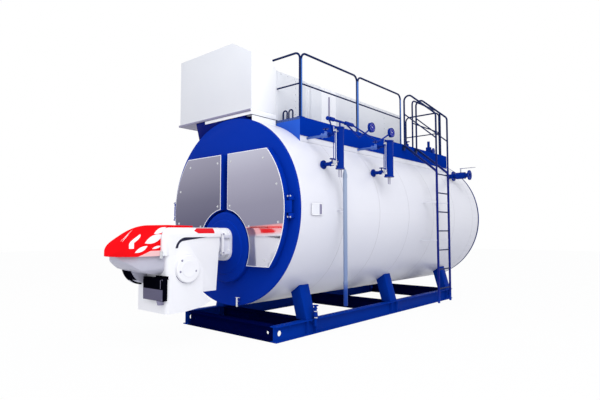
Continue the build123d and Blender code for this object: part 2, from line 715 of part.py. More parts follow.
def burner_control_box():
    front = out_front(BURNER_FRONT_OUT)
    z = (CONTROL_BOX_LOW_Z, CONTROL_BOX_LOW_Z + CONTROL_BOX_HEIGHT)
    box = block((CONTROL_BOX_LEFT_X, CONTROL_BOX_RIGHT_X), (front - CONTROL_BOX_DEPTH, front), z)
    return fillet(box.edges().filter_by(Axis.Z).sort_by(Axis.Y)[:2], CONTROL_BOX_EDGE)


def burner_motor_cover():
    x = (BURNER_HALF_WIDTH, BURNER_HALF_WIDTH + MOTOR_COVER_DEPTH)
    cover = bar_x(MOTOR_COVER_RADIUS, x, out_front(MOTOR_COVER_OUT), MOTOR_COVER_Z)
    return fillet(cover.edges().filter_by(GeomType.CIRCLE).sort_by(Axis.X)[-1], MOTOR_COVER_EDGE)


# Drain tap at the foot of the front plate

def front_drain_tap():
    """Tap on the front plate, with its spout down in front of the skid."""
    base_z = SHELL_AXIS_Z - sqrt(SHELL_RADIUS ** 2 - TAP_X ** 2)
    z = base_z + TAP_RISE
    y = out_front(TAP_REACH)
    body = bar_y(TAP_PIPE_RADIUS, TAP_X, (y, station(0)), z)
    spout = bar_z(TAP_SPOUT_RADIUS, TAP_X, y, (z - TAP_SPOUT_HALF, z + TAP_SPOUT_HALF / 2))
    lever_z = (z + TAP_SPOUT_HALF / 2, z + TAP_SPOUT_HALF / 2 + TAP_SPOUT_RADIUS / 2)
    lever = block((TAP_X - TAP_SPOUT_RADIUS, TAP_X + TAP_LEVER_LENGTH), (y - TAP_SPOUT_RADIUS, y), lever_z)
    return body + spout + lever


# Smoke hood, flue duct and economiser

def flue_duct():
    """Duct from the shell up to the hood pan, leaning out on its left side."""
    y = (station(0), station(FLUE_DEPTH))
    low_z = shell_surface_z(FLUE_LEFT_LOW_X) - FLUE_SINK
    lip_z = ECO_BASE_Z + HOOD_PAN_HEIGHT
    outline = [
        (FLUE_LEFT_LOW_X, low_z),
        (FLUE_LEFT_TOP_X, lip_z),
        (HOOD_PAN_LEFT_X, lip_z),
        (HOOD_PAN_LEFT_X, ECO_BASE_Z),
        (FLUE_RIGHT_X, ECO_BASE_Z),
        (FLUE_RIGHT_X, low_z),
    ]
    return profile_along_y(outline, y) - shell_envelope()


def smoke_hood_pan():
    """White pan under the hood, with a wider lip that the hood stands on."""
    lip_z = ECO_BASE_Z + HOOD_PAN_HEIGHT
    y = (out_front(HOOD_LIP_PROUD), station(ECO_START))
    pan = block((HOOD_PAN_LEFT_X, ECO_RIGHT_X), (station(0), y[1]), (ECO_BASE_Z, lip_z))
    lip = block((ECO_LEFT_X - HOOD_LIP_PROUD, ECO_RIGHT_X), y, (lip_z, lip_z + HOOD_LIP_HEIGHT))
    return pan + lip


def smoke_hood():
    base = ECO_BASE_Z + HOOD_PAN_HEIGHT + HOOD_LIP_HEIGHT
    top = base + SMOKE_HOOD_HEIGHT
    outline = [
        (station(0), base),
        (station(0), top),
        (station(SMOKE_HOOD_ROOF_DEPTH), top),
        (station(ECO_START), ECO_TOP_Z),
        (station(ECO_START), base),
    ]
    body = profile_along_x(outline, (ECO_LEFT_X, ECO_RIGHT_X))
    shoulder = [
        (ECO_RIGHT_X - SMOKE_HOOD_SHOULDER_WIDTH, top),
        (ECO_RIGHT_X, top - SMOKE_HOOD_SHOULDER_DROP),
        (ECO_RIGHT_X, top),
    ]
    return body - profile_along_y(shoulder, (station(0), station(ECO_START)))


def economiser_box(start, end):
    return block((ECO_LEFT_X, ECO_RIGHT_X), (station(start), station(end)), (ECO_BASE_Z, ECO_TOP_Z))


def economiser_joint():
    """Recessed joint band between the two casings, with a bar standing in it."""
    end = ECO_JOINT_START + ECO_JOINT_WIDTH
    side_x = ECO_RIGHT_X - ECO_JOINT_RECESS
    band = block(
        (ECO_LEFT_X + ECO_JOINT_RECESS, side_x),
        (station(ECO_JOINT_START), station(end)),
        (ECO_BASE_Z + ECO_JOINT_RECESS, ECO_TOP_Z - ECO_JOINT_RECESS),
    )
    y = station(ECO_JOINT_START + ECO_JOINT_WIDTH / 2)
    return band + bar_z(ECO_BAR_RADIUS, side_x, y, (ECO_BASE_Z + ECO_BAR_MARGIN, ECO_TOP_Z - ECO_BAR_MARGIN))


def economiser_saddles():
    """Plates that follow the shell and carry the casing."""
    plates = []
    envelope = shell_envelope()
    left = ECO_LEFT_X + ECO_SADDLE_MARGIN
    first = ECO_START + ECO_SADDLE_INSET
    last = ECO_END - ECO_SADDLE_MARGIN
    for start in (first, (first + last) / 2, last):
        y = (station(start), station(start) + ECO_SADDLE_THICKNESS)
        plate = block((left, ECO_RIGHT_X - ECO_SADDLE_MARGIN), y, (shell_surface_z(left), ECO_BASE_Z))
        plates.append(plate - envelope)
    return plates


# Walkway

def platform_deck():
    x = (ECO_RIGHT_X + CONTACT_GAP, DECK_OUTER_X - FASCIA_THICKNESS)
    y = (station(DECK_START), station(DECK_END))
    return block(x, y, (DECK_TOP_Z - DECK_THICKNESS, DECK_TOP_Z))


def fascia_low_z():
    """Lower edge of the side board, a little above the shell."""
    return shell_surface_z(DECK_OUTER_X - FASCIA_THICKNESS) + FASCIA_GAP


def platform_fascia():
    x = (DECK_OUTER_X - FASCIA_THICKNESS, DECK_OUTER_X)
    y = (station(DECK_START), station(DECK_END))
    return block(x, y, (fascia_low_z(), DECK_TOP_Z))


def platform_brackets():
    """Plates under the deck with their lower edge on the shell."""
    brackets = []
    envelope = shell_envelope()
    x = (ECO_RIGHT_X + CONTACT_GAP, DECK_OUTER_X - FASCIA_THICKNESS)
    run = DECK_END - DECK_START - BRACKET_THICKNESS
    for i in range(BRACKET_COUNT):
        y = station(DECK_START + run * i / (BRACKET_COUNT - 1))
        plate = block(x, (y, y + BRACKET_THICKNESS), (shell_surface_z(x[1]), DECK_TOP_Z - DECK_THICKNESS))
        brackets.append(plate - envelope)
    return brackets


# Rails

def rail_hoop(start, end):
    """One bay of the side rail: two posts and a top rail in a single bent tube."""
    points = [(start, DECK_TOP_Z), (start, RAIL_TOP_Z), (end, RAIL_TOP_Z), (end, DECK_TOP_Z)]
    return bent_pipe([(RAIL_X, y, z) for y, z in points], POST_RADIUS, RAIL_BEND)


def side_handrail():
    """Two bays whose middle posts are welded side by side, and one mid rail."""
    first = station(FRONT_POST) + POST_LAP
    middle = station(MIDDLE_POST)
    last = station(LAST_POST)
    rail = bar_y(RAIL_RADIUS, RAIL_X, (first, last), RAIL_MID_Z)
    return rail_hoop(first, middle - POST_LAP) + rail_hoop(middle + POST_LAP, last) + rail


def front_handrail():
    """Rail across the front end of the walkway, from its own corner post to the casing roof."""
    y = station(FRONT_POST) + POST_LAP - 2 * POST_RADIUS - CONTACT_GAP
    side = [(RAIL_X, DECK_TOP_Z), (RAIL_X, RAIL_TOP_Z)]
    inner = [(FRONT_RAIL_END_X, RAIL_TOP_Z), (FRONT_RAIL_END_X, ECO_TOP_Z)]
    frame = bent_pipe([(x, y, z) for x, z in side + inner], POST_RADIUS, RAIL_BEND)
    return frame + bar_x(RAIL_RADIUS, (ECO_RIGHT_X + CONTACT_GAP, RAIL_X), y, RAIL_MID_Z)


def rear_handrail():
    """Last side bay and the rail across the rear end, whose far post stands on the shell."""
    y0 = station(REAR_FIRST_POST)
    y1 = station(REAR_LAST_POST)
    corner_x = RAIL_X - 2 * POST_LAP
    foot_z = shell_surface_z(REAR_RAIL_END_X) - POST_RADIUS
    side = [(corner_x, DECK_TOP_Z), (corner_x, RAIL_TOP_Z)]
    inner = [(REAR_RAIL_END_X, RAIL_TOP_Z), (REAR_RAIL_END_X, foot_z)]
    cross = bent_pipe([(x, y1, z) for x, z in side + inner], POST_RADIUS, RAIL_BEND) - shell_envelope()
    cross += bar_x(RAIL_RADIUS, (REAR_RAIL_END_X, RAIL_X), y1, RAIL_MID_Z)
    return rail_hoop(y0, y1) + cross + bar_y(RAIL_RADIUS, RAIL_X, (y0, y1), RAIL_MID_Z)


# Ladder

def ladder_head_z():
    """Height where a stringer meets its guard post beside the walkway."""
    return DECK_TOP_Z - GUARD_FOOT_DEPTH


def ladder_stringer(y):
    """Up beside the shell, then in to the walkway edge."""
    points = [(LADDER_X, LADDER_FOOT_Z), (LADDER_X, LADDER_BEND_Z), (GUARD_X, ladder_head_z())]
    return bent_pipe([(x, y, z) for x, z in points], LADDER_STRINGER_RADIUS, LADDER_BEND_RADIUS)


def ladder_guard(y):
    """Grab rail from the walkway edge out to the stringer, with a sloping mid rail."""
    inner_z = DECK_TOP_Z + GUARD_HEIGHT
    outer_z = DECK_TOP_Z + GUARD_OUTER_HEIGHT
    inner = [(GUARD_X, ladder_head_z()), (GUARD_X, inner_z)]
    outer = [(LADDER_X, outer_z), (LADDER_X, LADDER_BEND_Z)]
    frame = bent_pipe([(x, y, z) for x, z in inner + outer], GUARD_RADIUS, GUARD_BEND)
    start = (GUARD_X, y, inner_z - GUARD_MID_DROP)
    end = (LADDER_X, y, outer_z - GUARD_MID_DROP)
    return frame + straight_pipe(start, end, RAIL_RADIUS)


def ladder_side(distance):
    """Stringer, guard and the small plate that fastens them to the side board."""
    y = station(distance)
    half = GUARD_PLATE_WIDTH / 2
    plate_z = (ladder_head_z() - GUARD_PLATE_HEIGHT, ladder_head_z())
    plate = block((DECK_OUTER_X, GUARD_X), (y - half, y + half), plate_z)
    head = Pos(GUARD_X, y, ladder_head_z()) * Sphere(LADDER_STRINGER_RADIUS)
    return ladder_stringer(y) + head + ladder_guard(y) + plate


def ladder_rungs():
    rungs = []
    for i in range(RUNG_COUNT):
        z = RUNG_FIRST_Z + i * RUNG_PITCH
        rung = bar_y(RUNG_RADIUS, LADDER_X, (station(LADDER_LEFT), station(LADDER_RIGHT)), z)
        for y in (LADDER_LEFT, LADDER_RIGHT):
            room = (z - RUNG_PITCH / 2, z + RUNG_PITCH / 2)
            rung -= bar_z(LADDER_STRINGER_RADIUS + CONTACT_GAP, LADDER_X, station(y), room)
        rungs.append(rung)
    return rungs


def ladder_ties():
    """Flat bars from the shell to the stringers, half way between two rungs."""
    ties = []
    envelope = shell_envelope()
    half = LADDER_TIE_WIDTH / 2
    for count in LADDER_TIE_RUNGS:
        z = RUNG_FIRST_Z + count * RUNG_PITCH
        low_x = shell_surface_x(z + LADDER_TIE_THICKNESS) - LADDER_TIE_WIDTH
        for distance in (LADDER_LEFT, LADDER_RIGHT):
            y = station(distance)
            tie = block((low_x, LADDER_X), (y - half, y + half), (z, z + LADDER_TIE_THICKNESS))
            room = (z - LADDER_TIE_THICKNESS, z + 2 * LADDER_TIE_THICKNESS)
            tie -= bar_z(LADDER_STRINGER_RADIUS + CONTACT_GAP, LADDER_X, y, room)
            ties.append((tie - envelope).solids().sort_by(Axis.X)[0])
    return ties


# Water level columns

def pipe_valve(x, y, z, share):
    """Valve body on a pipe along X, with a stem and a hand wheel on top."""
    half = VALVE_BODY_LENGTH * share / 2
    radius = VALVE_BODY_RADIUS * share
    valve = bar_x(radius * 0.8, (x - half, x + half), y, z) + Pos(x, y, z) * Sphere(radius)
    for end in (x - half, x + half):
        valve += bar_x(radius, (end - NOZZLE_FLANGE_THICKNESS / 2, end + NOZZLE_FLANGE_THICKNESS / 2), y, z)
    top = z + VALVE_STEM_HEIGHT * share
    valve += bar_z(radius * 0.55, x, y, (z, z + radius * 1.5))
    valve += bar_z(VALVE_STEM_RADIUS, x, y, (z, top))
    return valve + bar_z(VALVE_WHEEL_RADIUS * share, x, y, (top - VALVE_WHEEL_THICKNESS, top))


def level_column(index):
    """Standpipe with its two side arms to the shell and their valves."""
    y = station(COLUMN_STATIONS[index])
    radius = COLUMN_RADII[index]
    column = bar_z(radius, COLUMN_X, y, (COLUMN_LOW_Z, COLUMN_HIGH_Z))
    for z in (COLUMN_LOW_Z, COLUMN_HIGH_Z - COLUMN_CAP):
        column += bar_z(radius + COLUMN_CAP_LIP, COLUMN_X, y, (z, z + COLUMN_CAP))
    for z in (LOWER_NOZZLE_Z, UPPER_NOZZLE_Z):
        column += bar_x(NOZZLE_PIPE_RADIUS, (shell_surface_x(z) - NOZZLE_ROOT, COLUMN_X), y, z)
    flange_x = shell_surface_x(LOWER_NOZZLE_Z) + NOZZLE_FLANGE_GAP
    column += bar_x(NOZZLE_FLANGE_RADIUS, (flange_x, flange_x + NOZZLE_FLANGE_THICKNESS), y, LOWER_NOZZLE_Z)
    column += pipe_valve(UPPER_VALVE_X, y, UPPER_NOZZLE_Z, 1)
    column += pipe_valve(LOWER_VALVE_X, y, LOWER_NOZZLE_Z, LOWER_VALVE_SHARE)
    return column - shell_envelope()


def gauge_glass(index):
    """Glass tube held between two cocks beside the standpipe."""
    y = station(COLUMN_STATIONS[index])
    glass_y = y - GLASS_OFFSET
    glass = bar_z(GLASS_RADIUS, COLUMN_X, glass_y, (GLASS_LOW_Z, GLASS_HIGH_Z))
    for z in (GLASS_LOW_Z, GLASS_HIGH_Z):
        glass += bar_y(GLASS_ARM_RADIUS, COLUMN_X, (glass_y - 2 * GLASS_COCK_RADIUS, y), z)
        glass += bar_z(GLASS_COCK_RADIUS, COLUMN_X, glass_y, (z - GLASS_COCK_HALF, z + GLASS_COCK_HALF))
    seat = bar_z(COLUMN_RADII[index] + CONTACT_GAP, COLUMN_X, y, (COLUMN_LOW_Z, COLUMN_HIGH_Z))
    return glass - seat


def column_drains():
    """Two thin drain stubs under each standpipe."""
    stubs = []
    for distance in COLUMN_STATIONS:
        for offset in (-STUB_SPREAD, STUB_SPREAD):
            y = station(distance) + offset
            stubs.append(bar_z(STUB_RADIUS, COLUMN_X, y, (COLUMN_LOW_Z - STUB_LENGTH, COLUMN_LOW_Z)))
    return stubs


# Pressure pipework

def gauge_x(index):
    return COLUMN_X - (1 - index) * SIPHON_SPACING


def siphon(index):
    """Pipe that dips from the header and rises to a gauge."""
    x = gauge_x(index)
    route = [
        (COLUMN_X, station(SIPHON_STARTS[index]), HEADER_Z),
        (x, station(SIPHON_STATIONS[index]), SIPHON_LOW_Z),
        (x, station(SIPHON_ENDS[index]), HEADER_Z),
        (x, station(GAUGE_STATIONS[index]), GAUGE_Z),
    ]
    seat = bar_x(GAUGE_RADIUS + CONTACT_GAP, (x - GAUGE_DEPTH, x + GAUGE_DEPTH), route[3][1], GAUGE_Z)
    return jointed_pipe(route, SIPHON_RADIUS) - seat


def pressure_header():
    """Header on the front standpipe with a knob, a strut and two siphons."""
    header = bar_y(HEADER_RADIUS, COLUMN_X, (station(HEADER_START), station(HEADER_END)), HEADER_Z)
    header += Pos(COLUMN_X, station(HEADER_START), HEADER_Z) * Sphere(HEADER_KNOB_RADIUS)
    header += Pos(COLUMN_X, station(HEADER_END), HEADER_Z) * Sphere(HEADER_RADIUS * 1.25)
    column_y = station(COLUMN_STATIONS[0])
    header += bar_z(SIPHON_RADIUS, COLUMN_X, column_y, (COLUMN_HIGH_Z, HEADER_Z))
    foot = (STRUT_FOOT_X, column_y, UPPER_NOZZLE_Z + NOZZLE_PIPE_RADIUS / 2)
    strut = straight_pipe((COLUMN_X, station(STRUT_TOP), HEADER_Z), foot, SIPHON_RADIUS * 0.8)
    arm = bar_x(NOZZLE_PIPE_RADIUS + CONTACT_GAP, (UPPER_VALVE_X, COLUMN_X), column_y, UPPER_NOZZLE_Z)
    room_radius = COLUMN_RADII[0] + COLUMN_CAP_LIP + CONTACT_GAP
    standpipe = bar_z(room_radius, COLUMN_X, column_y, (COLUMN_LOW_Z, COLUMN_HIGH_Z))
    header += strut - arm - standpipe
    return header + siphon(0) + siphon(1)


def pressure_gauge(index):
    """Round gauge case, open to the right, with a sunk dial."""
    y = station(GAUGE_STATIONS[index])
    x = (gauge_x(index) - GAUGE_DEPTH / 2, gauge_x(index) + GAUGE_DEPTH / 2)
    case = bar_x(GAUGE_RADIUS, x, y, GAUGE_Z)
    return case - bar_x(GAUGE_RADIUS - GAUGE_RIM, (x[1] - GAUGE_DIAL_DEPTH, x[1]), y, GAUGE_Z)


# Drain pipe, nozzles and valves

def drain_pipe():
    y = station(DRAIN_STATION)
    pipe = bar_z(DRAIN_RADIUS, DRAIN_X, y, (DRAIN_LOW_Z, DRAIN_HIGH_Z))
    half = DRAIN_CLAMP_THICKNESS / 2
    clamp = block(
        (SHELL_RADIUS - DRAIN_RADIUS, DRAIN_X),
        (y - DRAIN_CLAMP_HALF, y + DRAIN_CLAMP_HALF),
        (SHELL_AXIS_Z - half, SHELL_AXIS_Z + half),
    )
    return pipe + (clamp - shell_envelope())


def rear_nozzle():
    """Flanged steam nozzle with a valve body between its two flanges."""
    y = station(REAR_NOZZLE_STATION)
    surface = shell_surface_x(REAR_NOZZLE_Z)
    inner_x = surface + REAR_INNER_FLANGE_GAP
    face_x = REAR_FLANGE_X + REAR_FLANGE_THICKNESS
    pipe = bar_x(REAR_NOZZLE_RADIUS, (surface - 2 * REAR_NOZZLE_RADIUS, REAR_FLANGE_X), y, REAR_NOZZLE_Z)
    for x in (inner_x, REAR_FLANGE_X):
        pipe += bar_x(REAR_FLANGE_RADIUS, (x, x + REAR_FLANGE_THICKNESS), y, REAR_NOZZLE_Z)
    body_x = (inner_x + REAR_FLANGE_X) / 2
    half = REAR_VALVE_LENGTH / 2
    pipe += bar_x(REAR_VALVE_RADIUS, (body_x - half, body_x + half), y, REAR_NOZZLE_Z)
    pipe -= shell_envelope()
    pipe -= bar_x(REAR_BORE_RADIUS, (face_x - REAR_BORE_DEPTH, face_x), y, REAR_NOZZLE_Z)
    for i in range(REAR_BOLT_COUNT):
        angle = radians(360 * (i + 0.5) / REAR_BOLT_COUNT)
        hole_y = y + REAR_BOLT_CIRCLE_RADIUS * cos(angle)
        hole_z = REAR_NOZZLE_Z + REAR_BOLT_CIRCLE_RADIUS * sin(angle)
        pipe -= bar_x(REAR_BOLT_HOLE_RADIUS, (REAR_FLANGE_X, face_x), hole_y, hole_z)
    return pipe


def rear_valve_lever():
    """Stem and long lever on the nozzle's valve body."""
    y = station(REAR_NOZZLE_STATION)
    x = (shell_surface_x(REAR_NOZZLE_Z) + REAR_INNER_FLANGE_GAP + REAR_FLANGE_X) / 2
    top_z = REAR_NOZZLE_Z + LEVER_STEM_TOP
    stem = bar_z(LEVER_STEM_RADIUS, x, y, (REAR_NOZZLE_Z + REAR_VALVE_RADIUS + CONTACT_GAP, top_z))
    lever = block(
        (x - LEVER_STEM_RADIUS, x + LEVER_LENGTH),
        (y - LEVER_HALF_WIDTH, y + LEVER_HALF_WIDTH),
        (top_z, top_z + LEVER_THICKNESS),
    )
    return stem + lever


def safety_valve():
    """Spring valve with an outlet flange to the side."""
    x = SAFETY_VALVE_X
    y = from_rear(SAFETY_VALVE_FROM_REAR)
    base = shell_surface_z(x)
    outlet_z = base + SAFETY_OUTLET_RISE
    flange_x = x + SAFETY_OUTLET_REACH
    outlet_flange_x = (flange_x - REAR_FLANGE_THICKNESS * 0.7, flange_x)
    neck_z = (base - SAFETY_STEM_RADIUS, base + SAFETY_NECK_TOP)
    valve = bar_z(SAFETY_STEM_RADIUS, x, y, neck_z) - shell_envelope()
    valve += bar_z(SAFETY_FLANGE_RADIUS, x, y, (base + SAFETY_FLANGE_LOW, base + SAFETY_FLANGE_TOP))
    valve += bar_z(SAFETY_VALVE_RADIUS, x, y, (base + SAFETY_BODY_LOW, base + SAFETY_BODY_TOP))
    valve += bar_x(SAFETY_OUTLET_RADIUS, (x, flange_x), y, outlet_z)
    valve += bar_x(SAFETY_OUTLET_RADIUS * 1.7, outlet_flange_x, y, outlet_z)
    return valve + bar_z(SAFETY_STEM_RADIUS * 0.9, x, y, (base + SAFETY_CAP_LOW, base + SAFETY_CAP_TOP))


def vent_valve():
    """Small globe valve with a hand wheel."""
    x = VENT_VALVE_X
    y = from_rear(VENT_VALVE_FROM_REAR)
    base = shell_surface_z(x)
    top = base + VENT_STEM_TOP
    valve = bar_z(VENT_STEM_RADIUS, x, y, (base - VENT_STEM_RADIUS, base + VENT_NECK_TOP)) - shell_envelope()
    valve += bar_z(VENT_STEM_RADIUS * 1.9, x, y, (base + VENT_BODY_LOW, base + VENT_BODY_TOP))
    valve += bar_z(VENT_STEM_RADIUS / 2, x, y, (base + VENT_BODY_LOW, top))
    return valve + bar_z(VENT_WHEEL_RADIUS, x, y, (top - VENT_WHEEL_THICKNESS, top))


def steam_stub():
    """Capped stub at the rear end of the shell."""
    x = STEAM_STUB_X
    y = from_rear(STEAM_STUB_FROM_REAR)
    base = shell_surface_z(x)
    neck_z = (base - STEAM_STUB_EDGE, base + STEAM_STUB_NECK_TOP)
    neck = bar_z(STEAM_STUB_RADIUS * 0.75, x, y, neck_z) - shell_envelope()
    cap = bar_z(STEAM_STUB_RADIUS, x, y, (base + STEAM_STUB_NECK_TOP, base + STEAM_STUB_CAP_TOP))
    return neck + fillet(cap.edges().filter_by(GeomType.CIRCLE).sort_by(Axis.Z)[-1], STEAM_STUB_EDGE)


# Skid

def skid_limits_y():
    return (out_front(SKID_FRONT_REACH), LEG_PITCH + SKID_REAR_TAIL)


def skid_beam(side):
    """Side beam of I section with web stiffeners by each leg and a pull hole near each end."""
    y = skid_limits_y()
    outer = SKID_OUTER_HALF_WIDTH
    x = sorted((side * outer, side * (outer - SKID_FLANGE_WIDTH)))
    centre = side * (outer - SKID_FLANGE_WIDTH / 2)
    web_x = (centre - SKID_WEB_THICKNESS / 2, centre + SKID_WEB_THICKNESS / 2)
    beam = block(x, y, (0, SKID_FLANGE_THICKNESS))
    beam += block(x, y, (SKID_HEIGHT - SKID_FLANGE_THICKNESS, SKID_HEIGHT))
    beam += block(web_x, y, (0, SKID_HEIGHT))
    for i in (-1, 0, 1):
        for offset in (-STIFFENER_OFFSET, STIFFENER_OFFSET):
            rib_y = i * LEG_PITCH + offset
            ribs = (rib_y - STIFFENER_THICKNESS / 2, rib_y + STIFFENER_THICKNESS / 2)
            beam += block(x, ribs, (0, SKID_HEIGHT))
    for hole_y in (y[0] + PULL_HOLE_FROM_END, y[1] - PULL_HOLE_FROM_END):
        beam -= bar_x(PULL_HOLE_RADIUS, web_x, hole_y, SKID_HEIGHT / 2)
    return beam


def skid_cross_beams():
    """Cross beams between the flanges of the two side beams, with lashing holes in the front one."""
    reach = SKID_OUTER_HALF_WIDTH - SKID_FLANGE_WIDTH - CONTACT_GAP
    front, rear = skid_limits_y()
    half = CROSS_BEAM_WIDTH / 2
    beams = []
    for centre in (front + half, -LEG_PITCH, 0, LEG_PITCH, rear - half):
        y = (centre - half, centre + half)
        web = (centre - CROSS_BEAM_WEB / 2, centre + CROSS_BEAM_WEB / 2)
        beam = block((-reach, reach), y, (0, SKID_FLANGE_THICKNESS))
        beam += block((-reach, reach), y, (SKID_HEIGHT - SKID_FLANGE_THICKNESS, SKID_HEIGHT))
        beam += block((-reach, reach), web, (0, SKID_HEIGHT))
        if not beams:
            for x in (-LASHING_HOLE_X, LASHING_HOLE_X):
                beam -= bar_y(LASHING_HOLE_RADIUS, x, web, SKID_HEIGHT / 2)
        beams.append(beam)
    return beams


def saddle_legs():
    """Leaning stub legs from the side beams to the underside of the shell."""
    legs = []
    envelope = shell_envelope()
    outer_low = SKID_OUTER_HALF_WIDTH - LEG_EDGE
    rise = SHELL_AXIS_Z - SKID_HEIGHT
    lean = tan(radians(LEG_LEAN_DEG))
    outline = [
        (outer_low, SKID_HEIGHT),
        (outer_low - rise * lean, SKID_HEIGHT + rise),
        (outer_low - LEG_WIDTH - rise * lean, SKID_HEIGHT + rise),
        (outer_low - LEG_WIDTH, SKID_HEIGHT),
    ]
    for side in (-1, 1):
        for i in (-1, 0, 1):
            y = (i * LEG_PITCH - LEG_LENGTH_Y / 2, i * LEG_PITCH + LEG_LENGTH_Y / 2)
            leg = profile_along_y([(side * px, pz) for px, pz in outline], y) - envelope
            legs.append(leg)
    return legs


# Small fittings

def skid_drain_valve():
    """Small cock under the shell drain, outside the right side beam."""
    y = station(SKID_DRAIN_STATION)
    x = SKID_OUTER_HALF_WIDTH + SKID_DRAIN_RADIUS + CONTACT_GAP
    web_x = SKID_OUTER_HALF_WIDTH - SKID_FLANGE_WIDTH / 2 + SKID_WEB_THICKNESS / 2
    arm_z = SKID_DRAIN_LOW_Z + SKID_DRAIN_ARM_RISE
    body = bar_z(SKID_DRAIN_RADIUS, x, y, (SKID_DRAIN_LOW_Z, SKID_DRAIN_LOW_Z + SKID_DRAIN_HEIGHT))
    return body + bar_x(SKID_DRAIN_ARM_RADIUS, (web_x, x), y, arm_z)


def name_plate():
    """Bare plate on two spacers beside the front end."""
    y = station(NAME_PLATE_STATION)
    back_x = SHELL_RADIUS + NAME_PLATE_GAP
    plate = block(
        (back_x, back_x + NAME_PLATE_SHEET),
        (y - NAME_PLATE_HALF_LENGTH, y + NAME_PLATE_HALF_LENGTH),
        (SHELL_AXIS_Z - NAME_PLATE_HALF_HEIGHT, SHELL_AXIS_Z + NAME_PLATE_HALF_HEIGHT),
    )
    reach = NAME_PLATE_HALF_LENGTH - NAME_PLATE_SPACER_INSET
    spacer_x = (SHELL_RADIUS - NAME_PLATE_GAP, back_x)
    for offset in (-reach, reach):
        plate += bar_x(NAME_PLATE_SPACER_RADIUS, spacer_x, y + offset, SHELL_AXIS_Z)
    return plate - shell_envelope()


def lifting_eyes():
    """Two bent bars standing on the front end of the walkway."""
    eyes = []
    y = station(LIFTING_EYE_STATION)
    top = DECK_TOP_Z + LIFTING_EYE_HEIGHT
    for i in range(2):
        x = LIFTING_EYE_X + i * LIFTING_EYE_PITCH
        end = x + LIFTING_EYE_WIDTH
        hoop = [(x, y, DECK_TOP_Z), (x, y, top), (end, y, top), (end, y, DECK_TOP_Z)]
        eyes.append(bent_pipe(hoop, LIFTING_EYE_RADIUS, LIFTING_EYE_WIDTH * 0.45))
    return eyes


def write_parts():
    os.makedirs("parts", exist_ok=True)
    parts = {
        "shell_cladding": shell_cladding(),
        "front_plate": front_plate(),
        "rear_plate": rear_plate(),
        "burner_hub": burner_hub(),
        "right_door": door_body(1),
        "right_door_cover": door_cover(1),
        "right_hinge": hinge_bracket(1),
        "left_door": door_body(-1),
        "left_door_cover": door_cover(-1),
        "left_hinge": hinge_bracket(-1),
        "burner_flange": burner_flange(),
        "burner_housing": burner_housing(),
        "burner_hood": burner_hood(),
        "burner_tray": burner_tray(),
        "burner_control_box": burner_control_box(),
        "burner_motor_cover": burner_motor_cover(),
        "front_drain_tap": front_drain_tap(),
        "flue_duct": flue_duct(),
        "smoke_hood_pan": smoke_hood_pan(),
        "smoke_hood": smoke_hood(),
        "economiser_front": economiser_box(ECO_START, ECO_JOINT_START),
        "economiser_rear": economiser_box(ECO_JOINT_START + ECO_JOINT_WIDTH, ECO_END),
        "economiser_joint": economiser_joint(),
        "economiser_saddles": economiser_saddles(),
        "platform_deck": platform_deck(),
        "platform_fascia": platform_fascia(),
        "platform_brackets": platform_brackets(),
        "side_handrail": side_handrail(),
        "front_handrail": front_handrail(),
        "rear_handrail": rear_handrail(),
        "ladder_side_left": ladder_side(LADDER_LEFT),
        "ladder_side_right": ladder_side(LADDER_RIGHT),
        "ladder_rungs": ladder_rungs(),
        "ladder_ties": ladder_ties(),
        "level_column_front": level_column(0),
        "level_column_rear": level_column(1),
        "gauge_glass_front": gauge_glass(0),
        "gauge_glass_rear": gauge_glass(1),
        "column_drains": column_drains(),
        "pressure_header": pressure_header(),
        "pressure_gauge_front": pressure_gauge(0),
        "pressure_gauge_rear": pressure_gauge(1),
        "drain_pipe": drain_pipe(),
        "rear_nozzle": rear_nozzle(),
        "rear_valve_lever": rear_valve_lever(),
        "safety_valve": safety_valve(),
        "vent_valve": vent_valve(),
        "steam_stub": steam_stub(),
        "skid_beam_left": skid_beam(-1),
        "skid_beam_right": skid_beam(1),
        "skid_cross_beams": skid_cross_beams(),
        "saddle_legs": saddle_legs(),
        "skid_drain_valve": skid_drain_valve(),
        "name_plate": name_plate(),
        "lifting_eyes": lifting_eyes(),
    }
    for name, shape in parts.items():
        solids = []
        for piece in shape if isinstance(shape, list) else [shape]:
            solids.extend(piece.solids())
        export_step(Compound(children=solids), "parts/" + name + ".step")


write_parts()
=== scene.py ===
import math

import bmesh
import bpy
from mathutils import Matrix, Vector


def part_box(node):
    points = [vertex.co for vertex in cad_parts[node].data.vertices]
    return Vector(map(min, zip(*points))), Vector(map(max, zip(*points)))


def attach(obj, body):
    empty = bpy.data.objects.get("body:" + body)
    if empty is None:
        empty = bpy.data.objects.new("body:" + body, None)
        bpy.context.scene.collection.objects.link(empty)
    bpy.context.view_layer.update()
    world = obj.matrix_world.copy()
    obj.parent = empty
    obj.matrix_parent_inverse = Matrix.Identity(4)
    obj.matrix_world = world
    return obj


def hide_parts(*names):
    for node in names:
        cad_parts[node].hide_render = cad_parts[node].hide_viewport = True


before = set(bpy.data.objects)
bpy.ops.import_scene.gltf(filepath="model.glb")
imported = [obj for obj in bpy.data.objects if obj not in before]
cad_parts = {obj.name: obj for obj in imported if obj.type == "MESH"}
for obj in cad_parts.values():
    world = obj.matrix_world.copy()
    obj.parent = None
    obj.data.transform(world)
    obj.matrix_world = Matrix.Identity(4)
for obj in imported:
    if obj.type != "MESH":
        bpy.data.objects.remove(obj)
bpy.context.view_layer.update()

FIXED = "boiler_fixed"
RIGHT_LEAF = "right_door_leaf"
LEFT_LEAF = "left_door_leaf"

UP = Vector((0, 0, 1))
DOWN = Vector((0, 0, -1))
FRONT = Vector((0, -1, 0))
REAR = Vector((0, 1, 0))
RIGHT = Vector((1, 0, 0))
LEFT = Vector((-1, 0, 0))

# Faces that lean less than this from each other are made one flat face
FLAT_LIMIT = math.radians(0.6)
